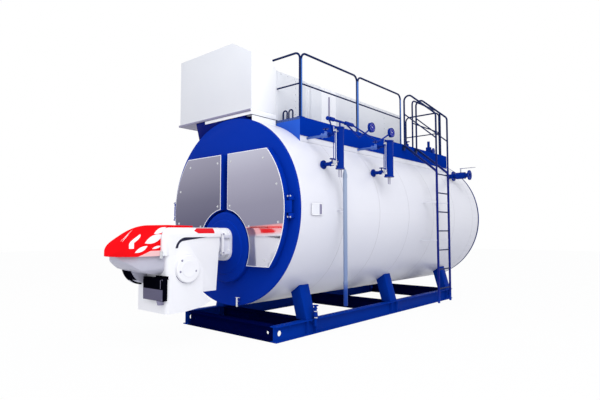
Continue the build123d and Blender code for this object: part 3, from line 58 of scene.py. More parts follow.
# Edges sharper than this are rounded
BEVEL_LIMIT = math.radians(32)
# Edges flatter than this are shaded smooth
SMOOTH_LIMIT = math.radians(34)
# Share of a face's normal that lies along a direction when the face looks that way
FACING_SHARE = 0.9
# Points closer than this are merged
MERGE_DISTANCE = 0.00002


# Mesh helpers


def pick(*pieces):
    """Selects these pieces and nothing else, the first one active."""
    bpy.ops.object.select_all(action="DESELECT")
    for piece in pieces:
        piece.select_set(True)
    bpy.context.view_layer.objects.active = pieces[0]


def settle(piece, name):
    """Names the piece and puts its place into its mesh, so that its object sits at the origin."""
    pick(piece)
    bpy.ops.object.transform_apply(location=True, rotation=True, scale=True)
    piece.name = name
    piece.data.name = name
    return piece


def new_box(name, low, high):
    """A box between two corners, to be shaped further."""
    low, high = Vector(low), Vector(high)
    bpy.ops.object.select_all(action="DESELECT")
    bpy.ops.mesh.primitive_cube_add(size=1, location=(low + high) / 2, scale=high - low)
    return settle(bpy.context.object, name)


def new_rod(name, start, end, radius, sides=24, end_radius=None, caps="NGON"):
    """A round bar from start to end, to be shaped further."""
    start, end = Vector(start), Vector(end)
    line = end - start
    turn = line.to_track_quat("Z", "Y").to_euler()
    bpy.ops.object.select_all(action="DESELECT")
    bpy.ops.mesh.primitive_cone_add(
        vertices=sides, radius1=radius, radius2=radius if end_radius is None else end_radius,
        depth=line.length, location=(start + end) / 2, rotation=turn, end_fill_type=caps,
    )
    return settle(bpy.context.object, name)


def new_ring(name, centre, facing_way, radius, thickness, sides, section=8):
    """A round ring with a round section, to be shaped further."""
    turn = Vector(facing_way).to_track_quat("Z", "Y").to_euler()
    bpy.ops.object.select_all(action="DESELECT")
    bpy.ops.mesh.primitive_torus_add(
        major_segments=sides, minor_segments=section, major_radius=radius,
        minor_radius=thickness, location=centre, rotation=turn,
    )
    return settle(bpy.context.object, name)


def facing(way):
    """A test for faces that look along a direction."""
    return lambda centre, normal: normal.dot(way) > FACING_SHARE


def edit_faces(piece, test):
    """Goes into edit mode with the faces selected whose centre and normal pass the test."""
    pick(piece)
    bpy.ops.object.mode_set(mode="EDIT")
    bpy.ops.mesh.select_mode(type="FACE")
    bpy.ops.mesh.select_all(action="DESELECT")
    grid = bmesh.from_edit_mesh(piece.data)
    grid.normal_update()
    for face in grid.faces:
        if test(face.calc_center_median(), face.normal):
            face.select_set(True)
    bmesh.update_edit_mesh(piece.data)


def leave():
    """Goes back to object mode."""
    bpy.ops.object.mode_set(mode="OBJECT")


def stepped(piece, test, *steps):
    """Insets the faces that pass the test and moves them, once for each pair of inset and move."""
    edit_faces(piece, test)
    for inset, move in steps:
        bpy.ops.mesh.inset(thickness=inset)
        bpy.ops.transform.translate(value=move)
    leave()
    return piece


def smooth(piece):
    """Shades the piece smooth apart from its sharp edges."""
    pick(piece)
    bpy.ops.object.shade_smooth_by_angle(angle=SMOOTH_LIMIT)
    return piece


def soften(piece, width, segments=2, limit=BEVEL_LIMIT):
    """Rounds the sharp edges and shades the rest smooth."""
    pick(piece)
    bevel = piece.modifiers.new("edges", "BEVEL")
    bevel.width = width
    bevel.segments = segments
    bevel.limit_method = "ANGLE"
    bevel.angle_limit = limit
    bevel.use_clamp_overlap = True
    bpy.ops.object.modifier_apply(modifier=bevel.name)
    return smooth(piece)


def joined(name, *pieces):
    """Several shapes as one piece."""
    pick(*pieces)
    if len(pieces) > 1:
        bpy.ops.object.join()
    return settle(pieces[0], name)


def repeated(name, master, spots):
    """Copies of one small part, each put at its place and turned to face its way, as one piece."""
    made = []
    for place, way in spots:
        copy = master.copy()
        copy.data = master.data.copy()
        bpy.context.collection.objects.link(copy)
        turn = Vector(way).to_track_quat("Z", "Y").to_matrix().to_4x4()
        copy.matrix_world = Matrix.Translation(Vector(place)) @ turn
        made.append(copy)
    bpy.data.objects.remove(master)
    return joined(name, *made)


def copy_of(node):
    """A copy of a CAD node's mesh, merged, with its flat faces made whole."""
    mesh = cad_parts[node].data.copy()
    mesh.materials.clear()
    piece = bpy.data.objects.new(node + "_finished", mesh)
    mesh.name = piece.name
    bpy.context.collection.objects.link(piece)
    pick(piece)
    bpy.ops.object.mode_set(mode="EDIT")
    bpy.ops.mesh.select_all(action="SELECT")
    bpy.ops.mesh.remove_doubles(threshold=MERGE_DISTANCE)
    bpy.ops.mesh.dissolve_limited(angle_limit=FLAT_LIMIT)
    leave()
    return piece


def coated(node, finish, edge=0.0, segments=2):
    """A CAD node's copy in its main finish, its edges rounded where their width is given."""
    piece = copy_of(node)
    if edge:
        soften(piece, edge, segments)
    else:
        smooth(piece)
    piece.data.materials.append(finish)
    return piece


def use_finish(piece, finish, test):
    """Gives a second finish to the faces that pass the test."""
    piece.data.materials.append(finish)
    index = len(piece.data.materials) - 1
    for face in piece.data.polygons:
        if test(face.center, face.normal):
            face.material_index = index


def finished(piece, finish, body=FIXED, stands_for=()):
    """Gives the piece its finish and the body that it rides on."""
    if not piece.data.materials:
        piece.data.materials.append(finish)
    if stands_for:
        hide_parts(*stands_for)
    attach(piece, body)
    return piece


def dress(node, finish, edge, body=FIXED, segments=2):
    """A CAD node with rounded edges and one finish."""
    return finished(coated(node, finish, edge, segments), finish, body, (node,))


def paint(finish, *nodes):
    """CAD nodes that are carried over get a finish of their own."""
    for node in nodes:
        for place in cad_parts[node].material_slots:
            place.material = finish


# Places


def centre_of(node):
    """The middle of a CAD node's box."""
    low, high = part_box(node)
    return (low + high) / 2


def spread(start, end, count):
    """Evenly spaced values from start to end."""
    return [start + step * (end - start) / (count - 1) for step in range(count)]


def turned(degrees, first, second):
    """A direction that is turned by some degrees from the first direction towards the second."""
    angle = math.radians(degrees)
    return first * math.cos(angle) + second * math.sin(angle)


def bolt_circle(centre, radius, count, start):
    """Places of the bolts of a flange that faces right, the first one turned up by start degrees."""
    middle = Vector(centre)
    return [(middle + turned(start + step * 360 / count, REAR, UP) * radius, RIGHT) for step in range(count)]


# Shader helpers

# Colour sockets of a Mix node: first colour, second colour and result
MIX_FIRST, MIX_SECOND, MIX_RESULT = 6, 7, 2


class Wire:
    """A value in a node tree, so that shader maths reads as Python."""

    def __init__(self, tree, socket):
        self.tree = tree
        self.socket = socket

    def math(self, operation, *values):
        return self.tree.node("ShaderNodeMath", {"operation": operation}, dict(enumerate(values)))

    def __add__(self, other):
        return self.math("ADD", self, other)

    def __radd__(self, other):
        return self.math("ADD", other, self)

    def __sub__(self, other):
        return self.math("SUBTRACT", self, other)

    def __rsub__(self, other):
        return self.math("SUBTRACT", other, self)

    def __mul__(self, other):
        return self.math("MULTIPLY", self, other)

    def __rmul__(self, other):
        return self.math("MULTIPLY", other, self)

    def __abs__(self):
        return self.math("ABSOLUTE", self)

    def __gt__(self, other):
        return self.math("GREATER_THAN", self, other)

    def __lt__(self, other):
        return self.math("LESS_THAN", self, other)

    def larger(self, other):
        return self.math("MAXIMUM", self, other)

    def smaller(self, other):
        return self.math("MINIMUM", self, other)

    def fraction(self):
        return self.math("FRACT", self)

    def root(self):
        return self.math("SQRT", self)


class Tree:
    """The nodes of a finish, of the floor or of the sky."""

    def __init__(self, owner):
        owner.use_nodes = True
        self.tree = owner.node_tree
        self.tree.nodes.clear()

    def node(self, kind, settings=None, inputs=None, output=0):
        """Adds a node: its settings first, then the values or wires of its sockets."""
        made = self.tree.nodes.new(kind)
        for key, value in (settings or {}).items():
            if key == "stops":
                self.set_stops(made.color_ramp, value)
            else:
                setattr(made, key, value)
        for key, value in (inputs or {}).items():
            if isinstance(value, Wire):
                self.tree.links.new(value.socket, made.inputs[key])
            else:
                made.inputs[key].default_value = value
        return Wire(self, made.outputs[output]) if made.outputs else None

    def set_stops(self, ramp, stops):
        """Gives a colour ramp its stops, each a position and a colour."""
        while len(ramp.elements) < len(stops):
            ramp.elements.new(0.5)
        for element, (position, colour) in zip(ramp.elements, stops):
            element.position = position
            element.color = (*colour, 1)


class Finish(Tree):
    """One painted, plated or moulded surface."""

    def __init__(self, name):
        self.material = bpy.data.materials.new(name)
        super().__init__(self.material)
        self.place = self.node("ShaderNodeTexCoord", output="Object")

    def axis(self, letter):
        """One coordinate of a point on the piece: X across, Y along or Z up."""
        return self.node("ShaderNodeSeparateXYZ", inputs={0: self.place}, output=letter)

    def stretched(self, scale):
        """The place on the piece, stretched along its axes."""
        return self.node("ShaderNodeMapping", inputs={"Vector": self.place, "Scale": scale})

    def noise(self, scale, detail=3, roughness=0.5, where=None):
        """Smooth noise, larger where its scale is smaller."""
        return self.node(
            "ShaderNodeTexNoise", {"noise_dimensions": "3D"},
            {"Vector": where or self.place, "Scale": scale, "Detail": detail, "Roughness": roughness},
        )

    def rise(self, value, low, high):
        """Goes from 0 where the value is low to 1 where it is high."""
        return self.node("ShaderNodeMapRange", None, {"Value": value, "From Min": low, "From Max": high})

    def ramp(self, factor, stops):
        """The colour that the stops give for a factor."""
        return self.node("ShaderNodeValToRGB", {"stops": stops}, {"Fac": factor}, "Color")

    def blend(self, factor, first, second):
        """Goes from the first colour to the second."""
        colours = {
            MIX_FIRST: first if isinstance(first, Wire) else (*first, 1),
            MIX_SECOND: second if isinstance(second, Wire) else (*second, 1),
        }
        return self.node("ShaderNodeMix", {"data_type": "RGBA"}, {0: factor, **colours}, MIX_RESULT)

    def bump(self, height, distance, strength):
        """Small relief of the surface."""
        sockets = {"Height": height, "Distance": distance, "Strength": strength}
        return self.node("ShaderNodeBump", None, sockets, "Normal")

    def surface(self, colour, rough, bump=None, **constants):
        """Ends the finish in one surface shader and returns its material."""
        sockets = {"Base Color": colour, "Roughness": rough}
        for key, value in constants.items():
            sockets[key.replace("_", " ")] = value
        if bump:
            sockets["Normal"] = bump
        shader = self.node("ShaderNodeBsdfPrincipled", None, sockets, "BSDF")
        self.node("ShaderNodeOutputMaterial", None, {"Surface": shader})
        return self.material


# Finishes

# Heights between which the painted shade low on the shell fades out
SHELL_LOW_SHADE = (0.35, 1.6)
# Heights between which the painted reflection on the polished door covers changes, and its climb to the
# right
COVER_REFLECTION_HEIGHTS = (0.9, 2.5)
COVER_REFLECTION_LEAN = 0.06
# Distance from bar to bar of the tread plate
TREAD_PITCH = 0.034

# Painted highlights on the hood's side: place along and up, half length, half width, tilt in degrees
HOOD_PAINTED_HIGHLIGHTS = (
    (-4.365, 1.186, 0.078, 0.024, 28), (-4.215, 1.300, 0.125, 0.042, 22),
    (-4.180, 1.205, 0.060, 0.014, 14), (-4.125, 1.395, 0.100, 0.026, 22),
)
# Painted highlights on the hood's slope, seen from above: place across and along, the same sizes and tilt
SLOPE_PAINTED_HIGHLIGHTS = (
    (0.200, -4.392, 0.135, 0.046, 126), (-0.130, -4.310, 0.140, 0.006, 121),
    (-0.072, -4.357, 0.115, 0.005, 130.6),
)
# The hood's side lies to the right of the first place, its slope above the second
HOOD_SIDE = 0.12
HOOD_SLOPE = 1.195
# Paler stretch along the hood's lower edge: front end, slope, largest climb and height of its front end
HOOD_FADE = (-4.40, 0.43, 0.062, 1.105)
# Shaded corner of the housing's pocket: middle of the corner, its radius and where the shade ends
POCKET_SHADE = (-3.81, 1.185, 0.130, -3.45)
# Width of that shade at its front end, and the two places across between which the pocket's face lies
POCKET_WIDTH = 0.060
POCKET_FACE = (0.25, 0.31)
# Red band on the housing: front end, back end, lower and upper edge
SHOULDER_BAND = (-3.67, -3.36, 1.360, 1.425)
# How fast that band widens from its point, and the place across that it starts from
BAND_TAPER = 0.55
BAND_SIDE = 0.2


def painted(name, colour, shade, rough, specular):
    """Shop paint on steel: a slow change of tone, dust in the grain and a light orange peel."""
    coat = Finish(name)
    tone = coat.noise(scale=1.3, detail=2)
    dust = coat.noise(scale=38, detail=4, roughness=0.6)
    peel = coat.noise(scale=90, detail=2)
    return coat.surface(
        coat.blend(tone * 0.7 + dust * 0.3, colour, shade), rough - 0.06 + dust * 0.12,
        coat.bump(peel, distance=0.0006, strength=0.35), Specular_IOR_Level=specular,
    )


def white_cladding():
    """Coated sheet of the shell: slow waves in the sheet and painted grey shade low down."""
    sheet = Finish("white_cladding")
    waves = sheet.noise(scale=1.0, detail=2)
    ripple = sheet.noise(scale=26)
    # Painted shade: the sheet greys towards the bottom, mixed with its slow waves of tone
    shade_and_waves = (1 - sheet.rise(sheet.axis("Z"), *SHELL_LOW_SHADE)) * 0.55 + waves * 0.25
    return sheet.surface(
        sheet.blend(shade_and_waves, (0.73, 0.735, 0.79), (0.53, 0.55, 0.66)), 0.30 + ripple * 0.10,
        sheet.bump(waves + ripple * 0.06, distance=0.006, strength=0.35),
        Specular_IOR_Level=0.4, Coat_Weight=0.12, Coat_Roughness=0.2,
    )


def casing_sheet():
    """Coated sheet of the economiser and the smoke hood."""
    sheet = Finish("casing_sheet")
    waves = sheet.noise(scale=1.7, detail=2)
    ripple = sheet.noise(scale=34)
    return sheet.surface(
        sheet.blend(waves * 0.8 + ripple * 0.2, (0.70, 0.715, 0.75), (0.65, 0.67, 0.72)),
        0.33 + ripple * 0.10, sheet.bump(waves + ripple * 0.08, distance=0.004, strength=0.3),
        Specular_IOR_Level=0.4,
    )


def polished_sheet(name, stops):
    """Polished stainless sheet: a painted reflection whose tones change up the sheet, and fine upright brush
    lines.
    """
    sheet = Finish(name)
    # The tone ramp is a painted reflection, changing with height and climbing to the right
    tone = sheet.ramp(sheet.rise(sheet.axis("Z") - sheet.axis("X") * COVER_REFLECTION_LEAN, *COVER_REFLECTION_HEIGHTS), stops)
    lines = sheet.noise(scale=14, detail=3, roughness=0.6, where=sheet.stretched((60, 60, 0.8)))
    cloud = sheet.noise(scale=2.2, detail=2)
    return sheet.surface(
        sheet.blend(lines * 0.10 + cloud * 0.06, tone, (0.08, 0.08, 0.12)), 0.05 + lines * 0.05,
        sheet.bump(lines, distance=0.0002, strength=0.15), Metallic=1.0,
    )


def height_paint(name, rough, specular, low, high, stops):
    """Paint whose tone changes between two heights of the piece."""
    coat = Finish(name)
    dust = coat.noise(scale=38, detail=4, roughness=0.6)
    tone = coat.ramp(coat.rise(coat.axis("Z") + dust * 0.02, low, high), stops)
    return coat.surface(
        tone, rough - 0.05 + dust * 0.1, coat.bump(dust, distance=0.0004, strength=0.25),
        Specular_IOR_Level=specular,
    )


def chequer_plate():
    """Painted tread plate: raised bars that lean left and right in turn."""
    plate = Finish("chequer_plate")
    u = plate.axis("X") * (1 / TREAD_PITCH)
    v = plate.axis("Y") * (1 / TREAD_PITCH)
    odd = (((u - u.fraction()) + (v - v.fraction())) * 0.5).fraction() > 0.25
    lean = odd * 2 - 1
    du = u.fraction() - 0.5
    dv = (v.fraction() - 0.5) * lean
    bar = (abs(du + dv) * 0.75 + abs(du - dv) * 2.6) < 0.5
    dust = plate.noise(scale=20, detail=4)
    return plate.surface(
        plate.blend(bar * (0.25 + dust * 0.5), (0.014, 0.05, 0.22), (0.17, 0.22, 0.36)),
        0.45 + dust * 0.15, plate.bump(bar + dust * 0.15, distance=0.0015, strength=0.7),
        Specular_IOR_Level=0.35,
    )


def painted_highlight(first, second, shape):
    """1 inside a leaf-shaped painted highlight that lies in the plane of two coordinates."""
    first_centre, second_centre, half_length, half_width, tilt = shape
    cosine, sine = math.cos(math.radians(tilt)), math.sin(math.radians(tilt))
    u = (first - first_centre) * cosine + (second - second_centre) * sine
    v = (second - second_centre) * cosine - (first - first_centre) * sine
    return (abs(v) * (1 / half_width) + (u * u) * (1 / half_length ** 2)) < 1


def red_enamel():
    """Glossy red moulding of the burner hood: painted highlights on side and slope, a paler lower edge."""
    enamel = Finish("red_enamel")
    across, along, height = enamel.axis("X"), enamel.axis("Y"), enamel.axis("Z")
    tone = enamel.noise(scale=2.4, detail=2)
    peel = enamel.noise(scale=70, detail=2)
    # Pale leaves on the hood's side and slope are painted highlights
    highlights = [painted_highlight(along, height, shape) * (across > HOOD_SIDE) for shape in HOOD_PAINTED_HIGHLIGHTS]
    highlights += [painted_highlight(across, along, shape) * (height > HOOD_SLOPE) for shape in SLOPE_PAINTED_HIGHLIGHTS]
    pale = highlights[0]
    for leaf in highlights[1:]:
        pale = pale.larger(leaf)
    red = enamel.blend(tone, (0.86, 0.008, 0.012), (0.78, 0.004, 0.008))
    start, slope, largest, base = HOOD_FADE
    fade = (height < ((along - start) * slope).smaller(largest) + base) * (along > start)
    lower = enamel.blend(fade * 0.85, red, (0.86, 0.62, 0.62))
    return enamel.surface(
        enamel.blend(pale, lower, (0.86, 0.84, 0.86)), 0.24 + peel * 0.05,
        enamel.bump(peel, distance=0.0003, strength=0.2), Specular_IOR_Level=0.0,
    )


def shoulder_band(across, along, height):
    """1 inside the housing's red band, which comes to a point at its front end."""
    front, back, low, high = SHOULDER_BAND
    inside = (along > front) * (along < back) * (height > low) * (height < high) * (across > BAND_SIDE)
    return inside * (abs(height - (low + high) / 2) < (along - front) * BAND_TAPER)


def pocket_shade(across, along, height):
    """1 in the shade round the upper edge of the housing's pocket, which narrows towards the rear."""
    corner_y, corner_z, radius, end = POCKET_SHADE
    ahead = (corner_y - along).larger(0)
    above = height - corner_z
    reach = (ahead * ahead + above * above).root()
    width = (end - along) * (POCKET_WIDTH / (end - corner_y + radius))
    shade = (reach > radius - width) * (reach < radius) * (above > 0) * (along < end)
    return shade * (across > POCKET_FACE[0]) * (across < POCKET_FACE[1])


def housing_white():
    """White moulding of the burner housing: its red shoulder band and its shaded pocket."""
    mould = Finish("housing_white")
    place = mould.axis("X"), mould.axis("Y"), mould.axis("Z")
    stipple = mould.noise(scale=260, detail=2)
    white = mould.blend(mould.noise(scale=3.1), (0.86, 0.865, 0.89), (0.82, 0.825, 0.855))
    white = mould.blend(pocket_shade(*place), white, (0.02, 0.02, 0.05))
    return mould.surface(
        mould.blend(shoulder_band(*place), white, (0.72, 0.012, 0.020)), 0.30 + stipple * 0.08,
        mould.bump(stipple, distance=0.0003, strength=0.3), Specular_IOR_Level=0.15,
    )


def moulded(name, colour, shade, rough, specular):
    """Moulded plastic or cast housing with a fine stipple."""
    mould = Finish(name)
    stipple = mould.noise(scale=260, detail=2)
    return mould.surface(
        mould.blend(mould.noise(scale=3.1), colour, shade), rough - 0.04 + stipple * 0.08,
        mould.bump(stipple, distance=0.0003, strength=0.3), Specular_IOR_Level=specular,
    )


def bright_steel():
    """Zinc plated or chromed small parts."""
    steel = Finish("bright_steel")
    wear = steel.noise(scale=60, detail=4)
    return steel.surface(
        steel.blend(wear, (0.84, 0.85, 0.88), (0.55, 0.57, 0.62)), 0.16 + wear * 0.14,
        steel.bump(wear, distance=0.0002, strength=0.3), Metallic=1.0,
    )


def sight_glass():
    """Gauge glass with a bright pale core."""
    glass = Finish("sight_glass")
    streak = glass.noise(scale=30, detail=2, where=glass.stretched((1, 1, 0.1)))
    return glass.surface(
        glass.blend(streak, (0.72, 0.78, 0.90), (0.86, 0.90, 0.97)), 0.05 + streak * 0.05,
        Specular_IOR_Level=0.9, Coat_Weight=0.6, Coat_Roughness=0.03,
    )


def gauge_card():
    """Dark card of the gauges with a slow change of tone."""
    card = Finish("gauge_card")
    tone = card.noise(scale=40, detail=2)
    return card.surface(
        card.blend(tone, (0.030, 0.035, 0.33), (0.020, 0.022, 0.22)), 0.30 + tone * 0.1,
        Specular_IOR_Level=0.05,
    )


# Whites and greys
CLADDING = white_cladding()
CASING = casing_sheet()
COVER_WHITE = painted("cover_white", (0.88, 0.89, 0.91), (0.84, 0.85, 0.88), 0.35, 0.2)
SEAM_GREY = painted("seam_grey", (0.52, 0.52, 0.56), (0.46, 0.46, 0.50), 0.45, 0.05)
# Grey for painted shade on the pan's lip and the side cover's ring, and the plain dark grey of small parts
SHADE_AND_DARK_GREY = painted("shade_and_dark_grey", (0.26, 0.25, 0.36), (0.22, 0.21, 0.31), 0.40, 0.15)
# Blues
FRONT_BLUE = painted("front_blue", (0.0006, 0.028, 0.345), (0.0008, 0.023, 0.29), 0.42, 0.02)
FASCIA_BLUE = painted("fascia_blue", (0.0008, 0.029, 0.33), (0.0010, 0.023, 0.26), 0.42, 0.0)
BEAM_BLUE = painted("beam_blue", (0.0012, 0.034, 0.33), (0.001, 0.025, 0.25), 0.42, 0.01)
# Skid cross beams: blue darkened to near black for painted shade
SHADE_BLUE = painted("shade_blue", (0.0005, 0.0025, 0.050), (0.0005, 0.0018, 0.036), 0.45, 0.0)
# Flue duct: blue darkened for painted shade
DUCT_SHADE_BLUE = painted("duct_shade_blue", (0.001, 0.006, 0.14), (0.001, 0.005, 0.10), 0.42, 0.03)
BRACKET_BLUE = painted("bracket_blue", (0.022, 0.105, 0.56), (0.018, 0.085, 0.50), 0.40, 0.05)
PIPE_BLUE = painted("pipe_blue", (0.10, 0.19, 0.55), (0.06, 0.13, 0.46), 0.30, 0.2)
RAIL_BLUE = painted("rail_blue", (0.003, 0.010, 0.060), (0.005, 0.016, 0.090), 0.35, 0.04)
# Paler blue of the rail posts: a painted highlight
POST_HIGHLIGHT_BLUE = painted("post_highlight_blue", (0.060, 0.165, 0.50), (0.045, 0.130, 0.42), 0.32, 0.15)
FITTING_BLUE = painted("fitting_blue", (0.0010, 0.017, 0.20), (0.0014, 0.025, 0.27), 0.24, 0.03)
# Drain pipe: pale grey blue, darker blue where it passes below the shell
PIPE_PALE = height_paint("pipe_pale", 0.30, 0.12, 0.41, 2.20, [
    (0.0, (0.004, 0.030, 0.22)), (0.12, (0.010, 0.050, 0.28)), (0.18, (0.17, 0.23, 0.40)),
    (0.6, (0.24, 0.30, 0.43)), (1.0, (0.30, 0.36, 0.49)),
])
# Ladder sides: skid blue at the foot, darker between, near black at the guards
LADDER_BLUE = height_paint("ladder_blue", 0.36, 0.10, 0.0, 4.0, [
    (0.0, (0.0012, 0.030, 0.30)), (0.06, (0.0012, 0.028, 0.28)), (0.10, (0.0020, 0.010, 0.17)),
    (0.60, (0.0020, 0.009, 0.15)), (0.72, (0.004, 0.014, 0.075)), (1.0, (0.004, 0.014, 0.07)),
])
CHEQUER = chequer_plate()
# Metal: both covers' tones are painted reflections; the right cover has a soft pink band, a painted
# reflection of the hood
RIGHT_SHEET = polished_sheet("right_cover_sheet", [
    (0.0, (0.74, 0.74, 0.78)), (0.235, (0.86, 0.85, 0.88)), (0.262, (0.92, 0.50, 0.50)),
    (0.315, (0.92, 0.42, 0.43)), (0.328, (0.28, 0.27, 0.37)), (0.50, (0.32, 0.31, 0.41)),
    (0.75, (0.44, 0.43, 0.54)), (1.0, (0.62, 0.62, 0.74)),
])
LEFT_SHEET = polished_sheet("left_cover_sheet", [
    (0.0, (0.10, 0.095, 0.16)), (0.35, (0.115, 0.11, 0.18)), (0.6, (0.18, 0.175, 0.25)),
    (0.85, (0.30, 0.29, 0.38)), (1.0, (0.36, 0.35, 0.45)),
])
BRIGHT = bright_steel()
# Burner, dials and plate
RED = red_enamel()
BURNER_WHITE = moulded("burner_white", (0.84, 0.845, 0.87), (0.80, 0.805, 0.835), 0.34, 0.15)
HOUSING_WHITE = housing_white()
# Light grey of the intake, darkened a little as painted shade
INTAKE_GREY = moulded("intake_grey", (0.50, 0.50, 0.58), (0.44, 0.44, 0.52), 0.38, 0.10)
CONTROL_BLACK = moulded("control_black", (0.0010, 0.0010, 0.003), (0.0016, 0.0016, 0.005), 0.34, 0.0)
CONTROL_GREY = moulded("control_grey", (0.115, 0.11, 0.18), (0.10, 0.095, 0.155), 0.38, 0.08)
DARK = moulded("dark_opening", (0.004, 0.004, 0.010), (0.006, 0.006, 0.014), 0.6, 0.03)
GLASS = sight_glass()
DIAL = gauge_card()
PLATE = moulded("plate_face", (0.76, 0.77, 0.82), (0.70, 0.715, 0.77), 0.30, 0.2)


# Small parts that repeat

# Edge of a strip, and the angle past which a hand wheel's edges are rounded
STRIP_EDGE = 0.001
WHEEL_LIMIT = math.radians(50)


def dome_screw(radius, height):
    """A round-headed screw on a thin washer, head towards +Z."""
    screw = new_rod("dome_screw", (0, 0, 0), (0, 0, height), radius, 16)
    shoulder = (radius * 0.22, (0, 0, height * 0.55))
    crown = (radius * 0.38, (0, 0, height * 0.30))
    stepped(screw, facing(UP), shoulder, crown)
    washer = new_rod("washer", (0, 0, -height * 0.2), (0, 0, height * 0.25), radius * 1.35, 16)
    return soften(joined("dome_screw", screw, washer), radius * 0.12, 1)


def hex_bolt(radius, height):
    """A bolt head on a washer, head towards +Z."""
    head = new_rod("hex_bolt", (0, 0, 0), (0, 0, height), radius, 6)
    stepped(head, facing(UP), (radius * 0.2, (0, 0, height * 0.12)))
    washer = new_rod("washer", (0, 0, -height * 0.2), (0, 0, height * 0.18), radius * 1.25, 18)
    return soften(joined("hex_bolt", head, washer), radius * 0.08, 1)


def hand_wheel(name, centre, radius, rim):
    """A hand wheel with a hub and four spokes, axle along +Z."""
    parts = [
        new_ring("rim", (0, 0, 0), UP, radius, rim, 28),
        new_rod("hub", (0, 0, -rim * 1.6), (0, 0, rim * 1.8), radius * 0.26, 12, radius * 0.2),
    ]
    for degrees in (20, 110, 200, 290):
        way = turned(degrees, RIGHT, REAR)
        parts.append(new_rod("spoke", way * radius * 0.15, way * radius * 0.98, rim * 0.85, 8, rim * 0.6))
    wheel = soften(joined("hand_wheel", *parts), rim * 0.15, 1, WHEEL_LIMIT)
    wheel.location = centre
    return settle(wheel, name)


def strip(name, across, along, up):
    """A thin bar with rounded edges, given by its two ends across, along and up."""
    low, high = zip(across, along, up)
    return soften(new_box(name, low, high), STRIP_EDGE, 1)


def fixings(name, part, spots, finish, body=FIXED):
    """Copies of one small part at their places, as one finished piece."""
    return finished(repeated(name, part, spots), finish, body)


# The boiler shell and its ends

# Joints of the cladding sheets: the first from the front end, the next ones and their number
SEAM_FIRST = 0.905
SEAM_PITCH = 0.915
SEAM_COUNT = 6
SEAM_HALF_WIDTH = 0.003
SEAM_THICKNESS = 0.0004
# Rivets round a joint, the first one turned by some degrees from the top
SEAM_RIVETS = 24
SEAM_RIVET_START = 4
# Rings stand this far off the shell
BAND_GAP = 0.0003
BAND_SIDES = 160
# Dark rim at the rear end, just short of it
RIM_WIDTH = 0.033
RIM_THICKNESS = 0.0005
RIM_GAP = 0.001
# Width of the white painted highlight along the folded edge of the door covers
COVER_EDGE_HIGHLIGHT = 0.008
# Screws of the right cover, across and up; the left cover mirrors them
RIGHT_SCREWS = (
    (0.14, 2.34), (0.77, 2.33), (1.01, 1.98), (0.13, 1.73), (1.04, 1.50), (0.51, 1.45), (0.80, 1.02),
)
LEFT_SCREWS = tuple((-x, z) for x, z in RIGHT_SCREWS)
# Hinge bolts: from the hinge's ends, either side of its middle, and their seat
HINGE_BOLT_INSET = 0.016
HINGE_BOLT_ACROSS = (-0.02, 0.024)
HINGE_BOLT_SEAT = 0.0005


def cladding_band(start, end, thickness):
    """A thin ring round the shell, just clear of it."""
    axis_z = centre_of("front_plate").z
    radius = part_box("front_plate")[1].x + BAND_GAP
    band = new_rod("band", (0, start, axis_z), (0, end, axis_z), radius, BAND_SIDES, caps="NOTHING")
    pick(band)
    wall = band.modifiers.new("wall", "SOLIDIFY")
    wall.thickness = thickness
    wall.offset = 1
    bpy.ops.object.modifier_apply(modifier=wall.name)
    return smooth(band)


def shell_pieces():
    """Cladding, joint bands with rivets, the rear rim, both end plates and the hub."""
    low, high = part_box("shell_cladding")
    axis_z = centre_of("front_plate").z
    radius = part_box("front_plate")[1].x
    paint(CLADDING, "shell_cladding")
    bands = []
    rivets = []
    for number in range(SEAM_COUNT):
        seam = low.y + SEAM_FIRST + SEAM_PITCH * number
        bands.append(cladding_band(seam - SEAM_HALF_WIDTH, seam + SEAM_HALF_WIDTH, SEAM_THICKNESS))
        for step in range(SEAM_RIVETS):
            way = turned(SEAM_RIVET_START + step * 360 / SEAM_RIVETS, UP, RIGHT)
            rivets.append((Vector((0, seam, axis_z)) + way * radius, way))
    finished(joined("cladding_bands", *bands), SEAM_GREY)
    fixings("cladding_rivets", dome_screw(radius=0.004, height=0.001), rivets, CLADDING)
    rim_end = high.y - RIM_GAP
    rim = cladding_band(rim_end - RIM_WIDTH, rim_end, RIM_THICKNESS)
    finished(settle(rim, "rear_rim"), DARK)
    dress("front_plate", FRONT_BLUE, edge=0.006)
    dress("rear_plate", BEAM_BLUE, edge=0.006)
    dress("burner_hub", FRONT_BLUE, edge=0.006, segments=3)


def door_cover(node, leaf, sheet, body, screws):
    """Polished cover with a painted highlight along its folded edge, and its dome screws, on its door."""
    cover = copy_of(node)
    edit_faces(cover, facing(FRONT))
    bpy.ops.mesh.inset(thickness=COVER_EDGE_HIGHLIGHT)
    leave()
    cover.data.materials.append(sheet)
    # The folded edge is painted white as a highlight
    cover.data.materials.append(COVER_WHITE)
    for face in cover.data.polygons:
        face.material_index = 0 if face.select else 1
    finished(soften(cover, 0.002), sheet, body, (node,))
    dress(leaf, FRONT_BLUE, edge=0.004, body=body)
    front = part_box(node)[0].y
    spots = [((x, front, z), FRONT) for x, z in screws]
    fixings(node + "_screws", dome_screw(radius=0.013, height=0.006), spots, BRIGHT, body=body)


def hinge_bolts():
    """Two bright cap screws at each end of both door hinges."""
    spots = []
    for node in ("right_hinge", "left_hinge"):
        dress(node, FRONT_BLUE, edge=0.004)
        low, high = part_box(node)
        middle = (low.x + high.x) / 2
        for z in (low.z + HINGE_BOLT_INSET, high.z - HINGE_BOLT_INSET):
            spots += [((middle + across, low.y - HINGE_BOLT_SEAT, z), FRONT) for across in HINGE_BOLT_ACROSS]
    fixings("hinge_bolts", hex_bolt(radius=0.009, height=0.006), spots, BRIGHT)


